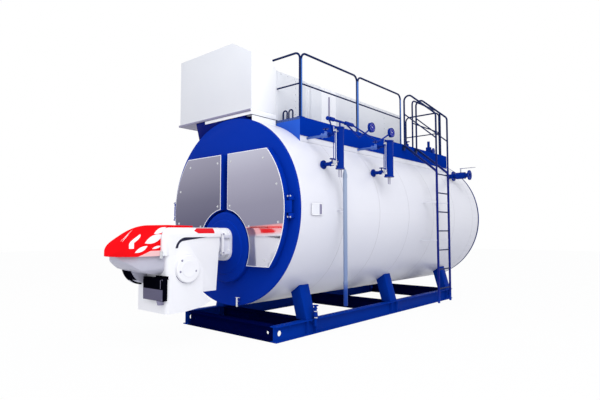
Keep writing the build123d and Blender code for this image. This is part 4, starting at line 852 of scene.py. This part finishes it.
shell_pieces()
door_cover("right_door_cover", "right_door", RIGHT_SHEET, RIGHT_LEAF, RIGHT_SCREWS)
door_cover("left_door_cover", "left_door", LEFT_SHEET, LEFT_LEAF, LEFT_SCREWS)
hinge_bolts()


# Top: duct, pan, smoke hood and economiser

# Faces of the smoke hood that look right by this share get a paler white: painted light on its right side
SMOKE_HOOD_LIT_SIDE = 0.7
# Depth of the pan's folded lip, and the share of forward or down by which its faces lie in shade
PAN_LIP = 0.035
LIP_SHADE_SHARE = 0.4
# Height of the skirt under the pan, and half the height of the pan's gasket line
PAN_SKIRT = 0.087
GASKET_HALF = 0.006
# Cover over the joint of the casings: its two ends and the width of its raised strips
JOINT_COVER = (-1.32, -0.94)
COVER_STRIP = 0.12
# How far the raised strips stand out, and the flat cover and the seams
STRIP_PROUD = 0.003
COVER_PROUD = 0.001
# The bar on the cover: its radius, and from the casing's foot and top to its ends
BAR_RADIUS = 0.015
BAR_ENDS = (0.20, 0.13)
# Trims at the casing's two ends: from the end to their middle, half width, and how they stand out
TRIM_INSET = 0.018
TRIM_HALF = 0.016
TRIM_PROUD = 0.0015
# Seam strips: behind the front casing's and the rear casing's front end, and before the rear end
CASING_SEAMS = (0.42, 1.10, 0.62)
CASING_SEAM_HALF = 0.012
# Trims and seams are let this deep into the casing's side
TRIM_SUNK = 0.002
# Rivets up a seam: from the foot to the first and the last, and their number
SEAM_RIVET_RANGE = (0.06, 0.66)
SEAM_RIVET_ROWS = 7
# Rivets along the casing's top: from its ends, from its top edge, and their number
TOP_RIVET_INSET = 0.10
TOP_RIVET_DROP = 0.03
TOP_RIVETS = 24


def casings_and_hood():
    """Both casings with their joint, and the smoke hood with painted light on its right side."""
    for node in ("economiser_front", "economiser_rear"):
        dress(node, CASING, edge=0.005)
    dress("economiser_joint", CASING, edge=0.003)
    hood = coated("smoke_hood", CASING, edge=0.005)
    # Right side of the hood in paler white: painted light
    use_finish(hood, COVER_WHITE, lambda centre, normal: normal.x > SMOKE_HOOD_LIT_SIDE)
    finished(hood, CASING, stands_for=("smoke_hood",))


def hood_pan():
    """Pan under the smoke hood with its shaded lip, a skirt behind its side and a dark gasket line."""
    low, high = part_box("smoke_hood_pan")
    pan = coated("smoke_hood_pan", COVER_WHITE, edge=0.003)
    use_finish(pan, SHADE_AND_DARK_GREY, lambda centre, normal: centre.z > high.z - PAN_LIP
               and max(-normal.y, -normal.z) > LIP_SHADE_SHARE)
    finished(pan, COVER_WHITE, stands_for=("smoke_hood_pan",))
    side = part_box("smoke_hood")[1].x
    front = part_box("smoke_hood")[0].y
    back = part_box("economiser_front")[0].y
    skirt_top = low.z + 0.002
    skirt = strip("pan_skirt", (side - 0.012, side - 0.006), (front + 0.02, back),
                  (skirt_top - PAN_SKIRT, skirt_top))
    finished(skirt, COVER_WHITE)
    line = (low.z - GASKET_HALF, low.z + GASKET_HALF)
    gasket = [
        strip("gasket", (side - 0.010, side - 0.002), (front + 0.010, back), line),
        strip("gasket", (side - 0.160, side - 0.002), (front + 0.008, front + 0.016), line),
    ]
    finished(joined("pan_gasket", *gasket), DARK)


def joint_cover():
    """Flat cover between two raised strips over the joint of the casings, and the upright bar on it."""
    low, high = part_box("economiser_front")
    side = high.x
    start, end = JOINT_COVER
    stretches = (
        ((start, start + COVER_STRIP), STRIP_PROUD), ((end - COVER_STRIP, end), STRIP_PROUD),
        ((start + COVER_STRIP, end - COVER_STRIP), COVER_PROUD),
    )
    covers = [
        strip("cover", (side - 0.004, side + proud), along, (low.z + 0.01, high.z - 0.004))
        for along, proud in stretches
    ]
    finished(joined("casing_cover", *covers), COVER_WHITE)
    bar_x, bar_y = side + 0.004, (start + end) / 2
    foot, head = low.z + BAR_ENDS[0], high.z - BAR_ENDS[1]
    bar = new_rod("casing_bar", (bar_x, bar_y, foot), (bar_x, bar_y, head), BAR_RADIUS, 16)
    finished(soften(bar, 0.003), SHADE_AND_DARK_GREY)


def casing_trims():
    """Corner trims and seam strips on the casings' side, and the rivets along them."""
    low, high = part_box("economiser_front")
    rear_low, rear_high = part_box("economiser_rear")
    side, start, end = high.x, low.y, rear_high.y
    trims = [
        strip("trim", (side - TRIM_SUNK, side + TRIM_PROUD), (y - TRIM_HALF, y + TRIM_HALF), (low.z, high.z))
        for y in (start + TRIM_INSET, end - TRIM_INSET)
    ]
    rivets = []
    first_rivet, last_rivet = SEAM_RIVET_RANGE
    heights = spread(low.z + first_rivet, low.z + last_rivet, SEAM_RIVET_ROWS)
    for seam in (start + CASING_SEAMS[0], rear_low.y + CASING_SEAMS[1], end - CASING_SEAMS[2]):
        along = (seam - CASING_SEAM_HALF, seam + CASING_SEAM_HALF)
        trims.append(strip("seam", (side - TRIM_SUNK, side + COVER_PROUD), along, (low.z, high.z - 0.003)))
        rivets += [((side + COVER_PROUD, seam, z), RIGHT) for z in heights]
    top_row = spread(start + TOP_RIVET_INSET, end - TOP_RIVET_INSET, TOP_RIVETS)
    rivets += [((side, y, high.z - TOP_RIVET_DROP), RIGHT) for y in top_row]
    finished(joined("casing_trims", *trims), CASING)
    fixings("casing_rivets", dome_screw(radius=0.006, height=0.003), rivets, BRIGHT)


casings_and_hood()
hood_pan()
joint_cover()
casing_trims()
# Flue duct in blue darkened for painted shade
dress("flue_duct", DUCT_SHADE_BLUE, edge=0.006)
dress("economiser_saddles", CASING, edge=0.003)


# Walkway, rails and ladder

# White strip under the side board, and the angle along the walkway's edge
FOOT_STRIP_DROP = 0.080
ANGLE_WIDTH = 0.03
ANGLE_THICKNESS = 0.004
# Middle of a rail post from the rail's end, and half the width that gets the post's painted highlight
POST_INSET = 0.015
REAR_POST_INSET = 0.02
POST_HALF_WIDTH = 0.03
# The rail keeps its dark blue, without painted highlight, this far down from its top
TOP_RAIL = 0.10
# Foot plate of a post: half length, top face over the deck, and its bolts either side of the post
PLATE_HALF = 0.05
PLATE_TOP = 0.01
PLATE_BOLT_OUT = 0.036
# Bolts of the side board: their number, the first from its front end, their pitch and drop from its top
BOARD_BOLTS = 10
BOARD_BOLT_START = 0.12
BOARD_BOLT_PITCH = 0.5
BOARD_BOLT_DROP = 0.03


def post_places():
    """Middles of the side rail's posts along the walkway."""
    low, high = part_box("side_handrail")
    return [low.y + POST_INSET, (low.y + high.y) / 2, high.y - POST_INSET]


def side_rail():
    """Side rail with a painted highlight on its posts at both ends and in the middle."""
    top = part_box("side_handrail")[1].z - TOP_RAIL
    places = post_places()
    rail = coated("side_handrail", RAIL_BLUE)
    use_finish(rail, POST_HIGHLIGHT_BLUE, lambda centre, normal: centre.z < top and abs(normal.y) < FACING_SHARE
               and min(abs(centre.y - place) for place in places) < POST_HALF_WIDTH)
    finished(rail, RAIL_BLUE, stands_for=("side_handrail",))


def walkway():
    """Side board, tread plate, brackets, the strip under the board and the angle along the edge."""
    dress("platform_fascia", FASCIA_BLUE, edge=0.003)
    dress("platform_deck", CHEQUER, edge=0.002)
    dress("platform_brackets", BRACKET_BLUE, edge=0.002)
    low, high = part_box("platform_fascia")
    foot = strip("walkway_foot_strip", (low.x - 0.004, low.x + 0.002), (low.y + 0.002, high.y - 0.002),
                 (low.z - FOOT_STRIP_DROP, low.z + 0.004))
    finished(foot, CLADDING)
    angle_up = (high.z, high.z + ANGLE_THICKNESS)
    edge = [
        strip("edge", (low.x - ANGLE_WIDTH, high.x), (low.y, high.y), angle_up),
        strip("edge", (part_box("platform_deck")[0].x, high.x), (low.y, low.y + ANGLE_WIDTH), angle_up),
    ]
    finished(joined("walkway_edge", *edge), BEAM_BLUE)


def post_feet():
    """Foot plates of the posts with two bolts each, and the bolts of the side board."""
    low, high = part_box("platform_fascia")
    rail_x = centre_of("side_handrail").x
    top = high.z + PLATE_TOP
    plates = []
    bolts = []
    for y in (*post_places(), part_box("rear_handrail")[1].y - REAR_POST_INSET):
        plates.append(strip("plate", (rail_x - 0.045, high.x - 0.001), (y - PLATE_HALF, y + PLATE_HALF),
                            (high.z + ANGLE_THICKNESS, top)))
        bolts += [((rail_x - 0.03, y + out, top), UP) for out in (-PLATE_BOLT_OUT, PLATE_BOLT_OUT)]
    finished(joined("post_plates", *plates), BEAM_BLUE)
    fixings("post_bolts", hex_bolt(radius=0.009, height=0.007), bolts, BRIGHT)
    board_bolts = [
        ((high.x, low.y + BOARD_BOLT_START + BOARD_BOLT_PITCH * step, high.z - BOARD_BOLT_DROP), RIGHT)
        for step in range(BOARD_BOLTS)
    ]
    fixings("board_bolts", dome_screw(radius=0.008, height=0.004), board_bolts, FASCIA_BLUE)


walkway()
post_feet()
side_rail()
paint(RAIL_BLUE, "front_handrail", "rear_handrail", "ladder_rungs")
paint(LADDER_BLUE, "ladder_side_left", "ladder_side_right")
paint(CLADDING, "ladder_ties")
dress("lifting_eyes", RAIL_BLUE, edge=0.003)


# Burner

# The fan drum: its reach from the intake's left end, and the height that it starts from
DRUM_REACH = 0.12
DRUM_FOOT = 0.80
# Ring round the side cover: its gap to the cover's edge and its thickness
RING_GAP = 0.002
RING_THICKNESS = 0.003
# The ring lies in shade this far below the cover's middle, as far back as this behind it
RING_SHADE_BELOW = 0.07
RING_SHADE_BEHIND = 0.05
# Swing pin across and along, and the heights of its two caps
SWING_PIN = (0.232, -3.14)
PIN_CAPS = (1.345, 1.10)
# Screws of the side cover along and up, and the radius of the boss on it
SIDE_COVER_SCREWS = ((-3.87, 1.04), (-3.89, 0.91), (-3.67, 0.91))
COVER_BOSS = 0.10
# Bolts of the burner flange: from its edges, from its corners, and either side of the middle
FLANGE_EDGE = 0.03
FLANGE_CORNER = 0.09
FLANGE_MIDDLE = 0.07
# Latch of the hood: across and along, and its reach below and above the hood's rim
LATCH_ACROSS = (0.300, 0.312)
LATCH_ALONG = (-4.14, -4.10)
LATCH_BELOW = 0.03
LATCH_ABOVE = 0.05
# Left end of the control box's raised back, place across of its cable gland, and inset of its screws
BOX_BACK_LEFT = 0.10
GLAND_X = 0.245
BOX_SCREW_INSET = 0.018


def burner_casing():
    """Flange, housing, side cover, hood, and the intake with its dark fan drum."""
    dress("burner_flange", BURNER_WHITE, edge=0.004)
    dress("burner_housing", HOUSING_WHITE, edge=0.012, segments=4)
    dress("burner_motor_cover", BURNER_WHITE, edge=0.006, segments=3)
    dress("burner_hood", RED, edge=0.006, segments=3)
    drum_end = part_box("burner_tray")[0].x + DRUM_REACH
    tray = coated("burner_tray", INTAKE_GREY, edge=0.004)
    use_finish(tray, CONTROL_BLACK, lambda centre, normal: centre.x < drum_end and centre.z > DRUM_FOOT)
    finished(tray, INTAKE_GREY, stands_for=("burner_tray",))


def side_cover():
    """Ring, boss and screws of the round side cover, and the caps of the swing pin beside it."""
    low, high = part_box("burner_motor_cover")
    middle = (low + high) / 2
    radius = (high.z - low.z) / 2 + RING_GAP
    seat = (low.x + RING_THICKNESS, middle.y, middle.z)
    ring = new_ring("ring", seat, RIGHT, radius, RING_THICKNESS, 56)
    ring.data.materials.append(BURNER_WHITE)
    use_finish(ring, SHADE_AND_DARK_GREY, lambda centre, normal: centre.z < middle.z - RING_SHADE_BELOW
               and centre.y < middle.y + RING_SHADE_BEHIND)
    finished(ring, BURNER_WHITE)
    caps = [((*SWING_PIN, z), UP) for z in PIN_CAPS]
    fixings("swing_pin_caps", dome_screw(radius=0.013, height=0.008), caps, SHADE_AND_DARK_GREY)
    screws = [((high.x, y, z), RIGHT) for y, z in SIDE_COVER_SCREWS]
    fixings("cover_screws", dome_screw(radius=0.010, height=0.003), screws, SHADE_AND_DARK_GREY)
    boss = new_rod("cover_boss", (high.x - 0.001, middle.y, middle.z), (high.x + 0.004, middle.y, middle.z),
                   COVER_BOSS, 48)
    stepped(boss, facing(RIGHT), (0.018, (-0.003, 0, 0)))
    finished(soften(boss, 0.0015), BURNER_WHITE)


def flange_bolts():
    """Bolts round the square burner flange."""
    low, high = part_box("burner_flange")
    places = [(x, z) for x in (low.x + FLANGE_EDGE, high.x - FLANGE_EDGE)
              for z in (low.z + FLANGE_CORNER, high.z - FLANGE_CORNER)]
    places += [(x, z) for z in (low.z + FLANGE_EDGE, high.z - FLANGE_EDGE)
               for x in (FLANGE_MIDDLE, -FLANGE_MIDDLE)]
    spots = [((x, low.y, z), FRONT) for x, z in places]
    fixings("flange_bolts", hex_bolt(radius=0.012, height=0.009), spots, BRIGHT)


def hood_latch():
    """Bright latch over the rim between hood and intake."""
    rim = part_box("burner_tray")[1].z
    corners = zip(LATCH_ACROSS, LATCH_ALONG, (rim - LATCH_BELOW, rim + LATCH_ABOVE))
    latch = new_box("latch", *corners)
    stepped(latch, facing(RIGHT), (0.006, (0.004, 0, 0)))
    finished(soften(latch, 0.002), BRIGHT)


def control_box():
    """Control box: dark lid over a lighter lower half, with its back, trim, cable gland and screws."""
    node = "burner_control_box"
    low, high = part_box(node)
    middle = (low.z + high.z) / 2
    box = copy_of(node)
    pick(box)
    bpy.ops.object.mode_set(mode="EDIT")
    bpy.ops.mesh.select_all(action="SELECT")
    bpy.ops.mesh.bisect(plane_co=(0, 0, middle), plane_no=(0, 0, 1))
    bpy.ops.mesh.select_all(action="DESELECT")
    leave()
    box.data.materials.append(CONTROL_BLACK)
    use_finish(box, CONTROL_GREY, lambda centre, normal: centre.z < middle and normal.y < -FACING_SHARE)
    finished(soften(box, 0.005, 3), CONTROL_BLACK, stands_for=(node,))
    back = strip("box_back", (BOX_BACK_LEFT, high.x + 0.01), (high.y - 0.004, high.y + 0.004),
                 (high.z - 0.02, high.z + 0.022))
    finished(back, CONTROL_BLACK)
    trim = strip("box_trim", (high.x - 0.052, high.x - 0.046), (low.y - 0.003, low.y),
                 (middle + 0.01, high.z - 0.02))
    finished(trim, SHADE_AND_DARK_GREY)
    gland_y = low.y + 0.03
    gland = new_rod("box_gland", (GLAND_X, gland_y, low.z), (GLAND_X, gland_y, low.z - 0.05),
                    0.045, 24, 0.032)
    stepped(gland, facing(DOWN), (0.008, (0, 0, 0.01)))
    finished(soften(gland, 0.003), SHADE_AND_DARK_GREY)
    corners = [((x, low.y, z), FRONT) for x in (low.x + BOX_SCREW_INSET, high.x - BOX_SCREW_INSET)
               for z in (low.z + BOX_SCREW_INSET, high.z - BOX_SCREW_INSET)]
    fixings("box_screws", dome_screw(radius=0.005, height=0.002), corners, SHADE_AND_DARK_GREY)


burner_casing()
side_cover()
flange_bolts()
hood_latch()
control_box()


# Skid

# Middle of the drain valve from the right end of its box
DRAIN_VALVE_INSET = 0.020
# Bolts along each beam: their number, the first from the beam's end, and their drop from its top
BEAM_BOLTS = 12
BEAM_BOLT_START = 0.25
BEAM_BOLT_DROP = 0.022


def drain_valve():
    """Body, cap, hand wheel and bright nuts of the drain valve under the shell."""
    paint(BEAM_BLUE, "skid_drain_valve")
    low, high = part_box("skid_drain_valve")
    x, y, top = high.x - DRAIN_VALVE_INSET, (low.y + high.y) / 2, high.z
    body = [
        soften(new_rod("body", (x, y, top - 0.150), (x, y, top - 0.090), 0.036, 24, 0.028), 0.004),
        soften(new_rod("cap", (x, y, top - 0.055), (x, y, top - 0.035), 0.032, 6, 0.026), 0.002, 1),
        hand_wheel("wheel", (x, y, top - 0.008), 0.038, 0.006),
    ]
    finished(joined("skid_drain_body", *body), FITTING_BLUE)
    nuts = [((x, y, top - drop), UP) for drop in (0.170, 0.088)]
    fixings("skid_drain_nuts", hex_bolt(radius=0.028, height=0.010), nuts, BRIGHT)


def beam_bolts():
    """A row of bolts along the outer side of each beam."""
    spots = []
    for node, way in (("skid_beam_left", LEFT), ("skid_beam_right", RIGHT)):
        low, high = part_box(node)
        outer = high.x if way.x > 0 else low.x
        for y in spread(low.y + BEAM_BOLT_START, high.y - BEAM_BOLT_START, BEAM_BOLTS):
            spots.append(((outer, y, high.z - BEAM_BOLT_DROP), way))
    fixings("skid_bolts", hex_bolt(radius=0.009, height=0.006), spots, BEAM_BLUE)


dress("skid_beam_left", BEAM_BLUE, edge=0.003)
dress("skid_beam_right", BEAM_BLUE, edge=0.003)
# Cross beams in near-black blue: painted shade
dress("skid_cross_beams", SHADE_BLUE, edge=0.003)
dress("saddle_legs", BEAM_BLUE, edge=0.003)
drain_valve()
beam_bolts()


# Side fittings

ENDS = ("front", "rear")
# Paler upper branch of a column: inside this place across, between these heights
PALE_BRANCH_X = 1.25
PALE_BRANCH_Z = (2.6, 2.72)
# Bright ends of a gauge glass, the cocks' distance from them, and the tube from the box's front
GLASS_END = 0.047
COCK_INSET = 0.022
GLASS_MIDDLE = 0.034
# Lower branch of a column: its height, its flange, and the ends of its sleeve and valve body
BRANCH_Z = 2.280
BRANCH_FLANGE = (1.163, 1.187)
BRANCH_SLEEVE_END = 1.262
BRANCH_BODY = (1.285, 1.345)
BRANCH_BOLT_CIRCLE = 0.042
# Hand wheels of a column's two valves: across, up and radius
COLUMN_WHEELS = ((1.215, 2.764, 0.040), (1.320, 2.346, 0.030))
WHEEL_RIM = 0.0055
# Share of the rear nozzle's flange at which its eight bolts sit
NOZZLE_BOLT_SHARE = 0.78
# Dial of a gauge: its share of the case, and the number, first angle and pitch in degrees of its marks
DIAL_SHARE = 0.8
MARK_COUNT = 13
MARK_START = -45
MARK_PITCH = 22.5
# Every third mark is long
LONG_MARK = 0.012
SHORT_MARK = 0.007
# Drain pipe: its radius, and half the width of its collars
DRAIN_RADIUS = 0.028
COLLAR_HALF = 0.022
# Sleeves on the pressure pipe: its height and both ends of each sleeve
HEADER_Z = 2.825
HEADER_SLEEVES = ((-2.43, -2.35), (-2.10, -1.93))
# Bars of the name plate's frame, and its darker strip
FRAME_BAR = 0.008
PLATE_STRIP = (0.062, 0.012)


def level_column(end):
    """Standpipe with a paler upper branch, and its gauge glass with bright ends and guard bars."""
    column = "level_column_" + end
    pipe = coated(column, FITTING_BLUE)
    use_finish(pipe, PIPE_BLUE, lambda centre, normal: centre.x < PALE_BRANCH_X
               and PALE_BRANCH_Z[0] < centre.z < PALE_BRANCH_Z[1])
    finished(pipe, FITTING_BLUE, stands_for=(column,))
    glass = "gauge_glass_" + end
    low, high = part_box(glass)
    tube = coated(glass, GLASS)
    use_finish(tube, BRIGHT, lambda centre, normal: centre.z < low.z + GLASS_END
               or centre.z > high.z - GLASS_END)
    finished(tube, GLASS, stands_for=(glass,))
    x = (low.x + high.x) / 2
    y = low.y + GLASS_MIDDLE
    guard_y = y - 0.022
    guards = [
        new_rod("guard", (x + out, guard_y, low.z + 0.03), (x + out, guard_y, high.z - 0.03), 0.005, 12)
        for out in (-0.018, 0.014)
    ]
    bar_across, bar_along = (x - 0.022, x + 0.018), (guard_y - 0.006, guard_y + 0.006)
    guards += [
        strip("guard_bar", bar_across, bar_along, (z - 0.008, z + 0.008))
        for z in (low.z + 0.045, high.z - 0.045)
    ]
    finished(joined("glass_guard_" + end, *guards), FITTING_BLUE)
    finished(glass_cocks(end, x, y, low.z, high.z), BRIGHT)


def glass_cocks(end, x, y, foot, head):
    """Cock with a lever at each end of a gauge glass, and the drain cock with its nut and tip below it."""
    cocks = []
    for z, way in ((foot + COCK_INSET, -1), (head - COCK_INSET, 1)):
        nut = new_rod("cock", (x, y + 0.012, z), (x, y - 0.035, z), 0.015, 6, 0.013)
        stepped(nut, facing(FRONT), (0.004, (0, -0.004, 0)))
        cocks.append(soften(nut, 0.0015, 1))
        lever_up = sorted((z, z + way * 0.05))
        cocks.append(strip("cock_lever", (x - 0.004, x + 0.004), (y - 0.040, y - 0.034), lever_up))
    body = new_rod("cock_body", (x, y, foot - 0.035), (x, y, foot + 0.045), 0.022, 20, 0.017)
    nut_x, nut_z = x + 0.004, foot + 0.012
    nut = new_rod("cock_nut", (nut_x, y - 0.018, nut_z), (nut_x, y - 0.040, nut_z), 0.026, 6)
    tip = new_rod("cock_tip", (x - 0.020, y - 0.010, foot - 0.012), (x - 0.055, y - 0.016, foot - 0.020),
                  0.013, 16, 0.009)
    cocks += [soften(body, 0.003), soften(nut, 0.002, 1), soften(tip, 0.002, 1)]
    return joined("glass_cocks_" + end, *cocks)


def gauge(end):
    """Case with a raised rim and a dark dial with plain marks and a pointer, open to the right."""
    node = "pressure_gauge_" + end
    low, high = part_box(node)
    middle = (low + high) / 2
    radius = (high.z - low.z) / 2
    dial_radius = radius * DIAL_SHARE
    case = coated(node, FITTING_BLUE, edge=0.004)
    use_finish(case, DIAL, lambda centre, normal: normal.x > FACING_SHARE
               and (centre - middle).length < dial_radius)
    finished(case, FITTING_BLUE, stands_for=(node,))
    face = high.x - 0.006
    dial = Vector((face + 0.0006, middle.y, middle.z))
    marks = []
    for step in range(MARK_COUNT):
        way = turned(MARK_START + MARK_PITCH * step, REAR, UP)
        length = SHORT_MARK if step % 3 else LONG_MARK
        inner, outer = dial + way * (dial_radius - length), dial + way * dial_radius
        marks.append(new_rod("mark", inner, outer, 0.0011, 6))
    finished(joined("gauge_marks_" + end, *marks), COVER_WHITE)
    needle = new_rod("needle", (face + 0.0015, middle.y + 0.012, middle.z - 0.008),
                     (face + 0.0015, middle.y - 0.036, middle.z + 0.026), 0.0022, 8, 0.0006)
    boss = new_rod("boss", (face, middle.y, middle.z), (face + 0.004, middle.y, middle.z), 0.006, 18)
    pointer = soften(joined("gauge_pointer_" + end, needle, boss), 0.0006, 1)
    finished(pointer, COVER_WHITE)
    bezel = new_ring("bezel", (high.x - 0.002, middle.y, middle.z), RIGHT, radius - 0.005, 0.0038, 48)
    finished(soften(bezel, 0.0004, 1), FITTING_BLUE)


def side_valves():
    """Wheels, flanges, sleeves and bodies of the columns' valves, and the bolts of all side flanges."""
    wheels = []
    rings = []
    bolts = []
    flange_start, flange_end = BRANCH_FLANGE
    body_start, body_end = BRANCH_BODY
    for end in ENDS:
        y = centre_of("level_column_" + end).y
        for x, z, radius in COLUMN_WHEELS:
            wheels.append(hand_wheel("wheel", (x, y, z), radius, WHEEL_RIM))
        bolts += bolt_circle((flange_end, y, BRANCH_Z), BRANCH_BOLT_CIRCLE, 6, 15)
        flange = new_rod("ring", (flange_start, y, BRANCH_Z), (flange_end, y, BRANCH_Z), 0.060, 40)
        rings.append(soften(flange, 0.003))
        sleeve = new_rod("sleeve", (flange_end, y, BRANCH_Z), (BRANCH_SLEEVE_END, y, BRANCH_Z), 0.026, 28)
        rings.append(soften(sleeve, 0.002))
        body = new_rod("body", (body_start, y, BRANCH_Z), (body_end, y, BRANCH_Z), 0.034, 24, 0.028)
        rings.append(soften(body, 0.006))
    finished(joined("valve_wheels", *wheels), FITTING_BLUE)
    finished(joined("side_nozzle_rings", *rings), FITTING_BLUE)
    low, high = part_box("rear_nozzle")
    middle = (low + high) / 2
    circle = (high.z - low.z) / 2 * NOZZLE_BOLT_SHARE
    bolts += bolt_circle((high.x, middle.y, middle.z), circle, 8, 22.5)
    fixings("flange_studs", hex_bolt(radius=0.007, height=0.006), bolts, FITTING_BLUE)


def drain_pipe():
    """Long drain pipe with two collars and a cone at its head."""
    low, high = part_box("drain_pipe")
    x, y = high.x - DRAIN_RADIUS, (low.y + high.y) / 2
    collars = [
        new_rod("collar", (x, y, z - COLLAR_HALF), (x, y, z + COLLAR_HALF), DRAIN_RADIUS + 0.003, 32)
        for z in (low.z + 0.3, high.z - 0.03)
    ]
    collars.append(new_rod("cone", (x, y, high.z), (x, y, high.z + 0.06), DRAIN_RADIUS, 32, 0.014))
    finished(soften(joined("drain_collars", *collars), 0.002, 1), PIPE_PALE)
    pipe = coated("drain_pipe", PIPE_PALE)
    use_finish(pipe, CLADDING, lambda centre, normal: centre.x < x - DRAIN_RADIUS - 0.002)
    finished(pipe, PIPE_PALE, stands_for=("drain_pipe",))


def header_and_vent():
    """Sleeves of the pressure pipe and the hand wheel of the vent valve."""
    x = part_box("pressure_header")[1].x - 0.02
    sleeves = [
        soften(new_rod("sleeve", (x, start, HEADER_Z), (x, end, HEADER_Z), 0.026, 28), 0.004)
        for start, end in HEADER_SLEEVES
    ]
    finished(joined("header_sleeves", *sleeves), FITTING_BLUE)
    middle = centre_of("vent_valve")
    wheel_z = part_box("vent_valve")[1].z - 0.006
    wheel = hand_wheel("vent_wheel", (middle.x, middle.y, wheel_z), 0.054, WHEEL_RIM)
    finished(wheel, FITTING_BLUE)


def name_plate():
    """Plate without text: raised frame, darker strip and four rivets."""
    low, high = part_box("name_plate")
    face = high.x
    dress("name_plate", PLATE, edge=0.0012, segments=1)
    raised = (face - 0.001, face + 0.002)
    bars = [strip("bar", raised, (low.y, high.y), (z, z + FRAME_BAR)) for z in (low.z, high.z - FRAME_BAR)]
    bars += [strip("bar", raised, (y, y + FRAME_BAR), (low.z, high.z)) for y in (low.y, high.y - FRAME_BAR)]
    finished(joined("name_plate_frame", *bars), COVER_WHITE)
    strip_start, strip_end = PLATE_STRIP
    dark = strip("plate_strip", (face - 0.001, face + 0.001), (high.y - strip_start, high.y - strip_end),
                 (low.z + 0.009, high.z - 0.009))
    finished(dark, SHADE_AND_DARK_GREY)
    rivets = [((face + 0.001, y, z), RIGHT) for y in (low.y + 0.016, high.y - 0.016)
              for z in (low.z + 0.016, high.z - 0.016)]
    fixings("name_plate_rivets", dome_screw(radius=0.004, height=0.0015), rivets, BRIGHT)


for column_end in ENDS:
    level_column(column_end)
for gauge_end in ENDS:
    gauge(gauge_end)
side_valves()
drain_pipe()
paint(FITTING_BLUE, "pressure_header", "rear_nozzle", "safety_valve", "vent_valve", "steam_stub")
paint(BRIGHT, "rear_valve_lever", "front_drain_tap")
paint(SHADE_AND_DARK_GREY, "column_drains")
header_and_vent()
name_plate()


# Floor, light and camera

WHITE = (1, 1, 1, 1)
# Floor: its size, its drop below the boiler's feet and its own colour
FLOOR_SIZE = 60
FLOOR_DROP = 0.001
FLOOR_COLOUR = (0.74, 0.74, 0.77, 1)
# How much of the plain white the floor shows to the camera, and to mirrors and glass
FLOOR_SEEN = 0.96
FLOOR_MIRRORED = 0.86
# Light of the sky on the boiler
SKY_COLOUR = (0.96, 0.97, 1.0, 1)
SKY_STRENGTH = 0.80
# Lamps: name, place, aim, size and power
LAMPS = (
    ("key_lamp", (7.0, -6.0, 8.5), (0, 0, 1.8), 9.0, 760),
    ("fill_lamp", (-4.5, -9.0, 5.0), (0, -1, 1.6), 4.0, 85),
)
CAMERA_PLACE = (5.097, -7.206, 1.395)
CAMERA_TILT = 93.686
CAMERA_TURN = 40.989
CAMERA_LENS = 28.47
CAMERA_SENSOR = 36


def rays(tree):
    """1 for a ray that comes from the camera, from a mirror or through glass."""
    kinds = ("Is Camera Ray", "Is Glossy Ray", "Is Transmission Ray")
    return [tree.node("ShaderNodeLightPath", output=kind) for kind in kinds]


def white_floor():
    """A white floor that keeps a faint shadow."""
    bpy.ops.object.select_all(action="DESELECT")
    bpy.ops.mesh.primitive_plane_add(size=FLOOR_SIZE, location=(0, 0, -FLOOR_DROP))
    floor = settle(bpy.context.object, "floor")
    material = bpy.data.materials.new("floor_white")
    white = Tree(material)
    seen, mirrored, through = rays(white)
    plain = white.node("ShaderNodeBsdfDiffuse", None, {"Color": FLOOR_COLOUR})
    glow = white.node("ShaderNodeEmission", None, {"Color": WHITE, "Strength": 1.0})
    share = seen * FLOOR_SEEN + (mirrored + through) * FLOOR_MIRRORED
    mixed = white.node("ShaderNodeMixShader", None, {0: share, 1: plain, 2: glow})
    white.node("ShaderNodeOutputMaterial", None, {"Surface": mixed})
    floor.data.materials.append(material)


def pale_sky():
    """An even pale sky that looks plain white."""
    world = bpy.data.worlds.new("pale_sky")
    bpy.context.scene.world = world
    sky = Tree(world)
    seen, mirrored, through = rays(sky)
    ambient = sky.node("ShaderNodeBackground", None, {"Color": SKY_COLOUR, "Strength": SKY_STRENGTH})
    plain = sky.node("ShaderNodeBackground", None, {"Color": WHITE, "Strength": 1.0})
    share = seen.larger(mirrored).larger(through)
    mixed = sky.node("ShaderNodeMixShader", None, {0: share, 1: ambient, 2: plain})
    sky.node("ShaderNodeOutputWorld", None, {"Surface": mixed})


def lamps():
    """One large soft lamp and a fill, neither seen in mirrors."""
    for name, place, aim, size, power in LAMPS:
        data = bpy.data.lights.new(name, "AREA")
        data.energy = power
        data.size = size
        lamp = bpy.data.objects.new(name, data)
        lamp.visible_glossy = False
        lamp.location = place
        lamp.rotation_euler = (Vector(aim) - Vector(place)).to_track_quat("-Z", "Y").to_euler()
        bpy.context.collection.objects.link(lamp)


def camera():
    """The camera of the main view."""
    lens = bpy.data.cameras.new("camera")
    lens.lens = CAMERA_LENS
    lens.sensor_width = CAMERA_SENSOR
    viewer = bpy.data.objects.new("camera", lens)
    viewer.location = CAMERA_PLACE
    viewer.rotation_euler = (math.radians(CAMERA_TILT), 0, math.radians(CAMERA_TURN))
    bpy.context.collection.objects.link(viewer)
    bpy.context.scene.camera = viewer
    bpy.context.scene.view_settings.view_transform = "Standard"


white_floor()
pale_sky()
lamps()
camera()
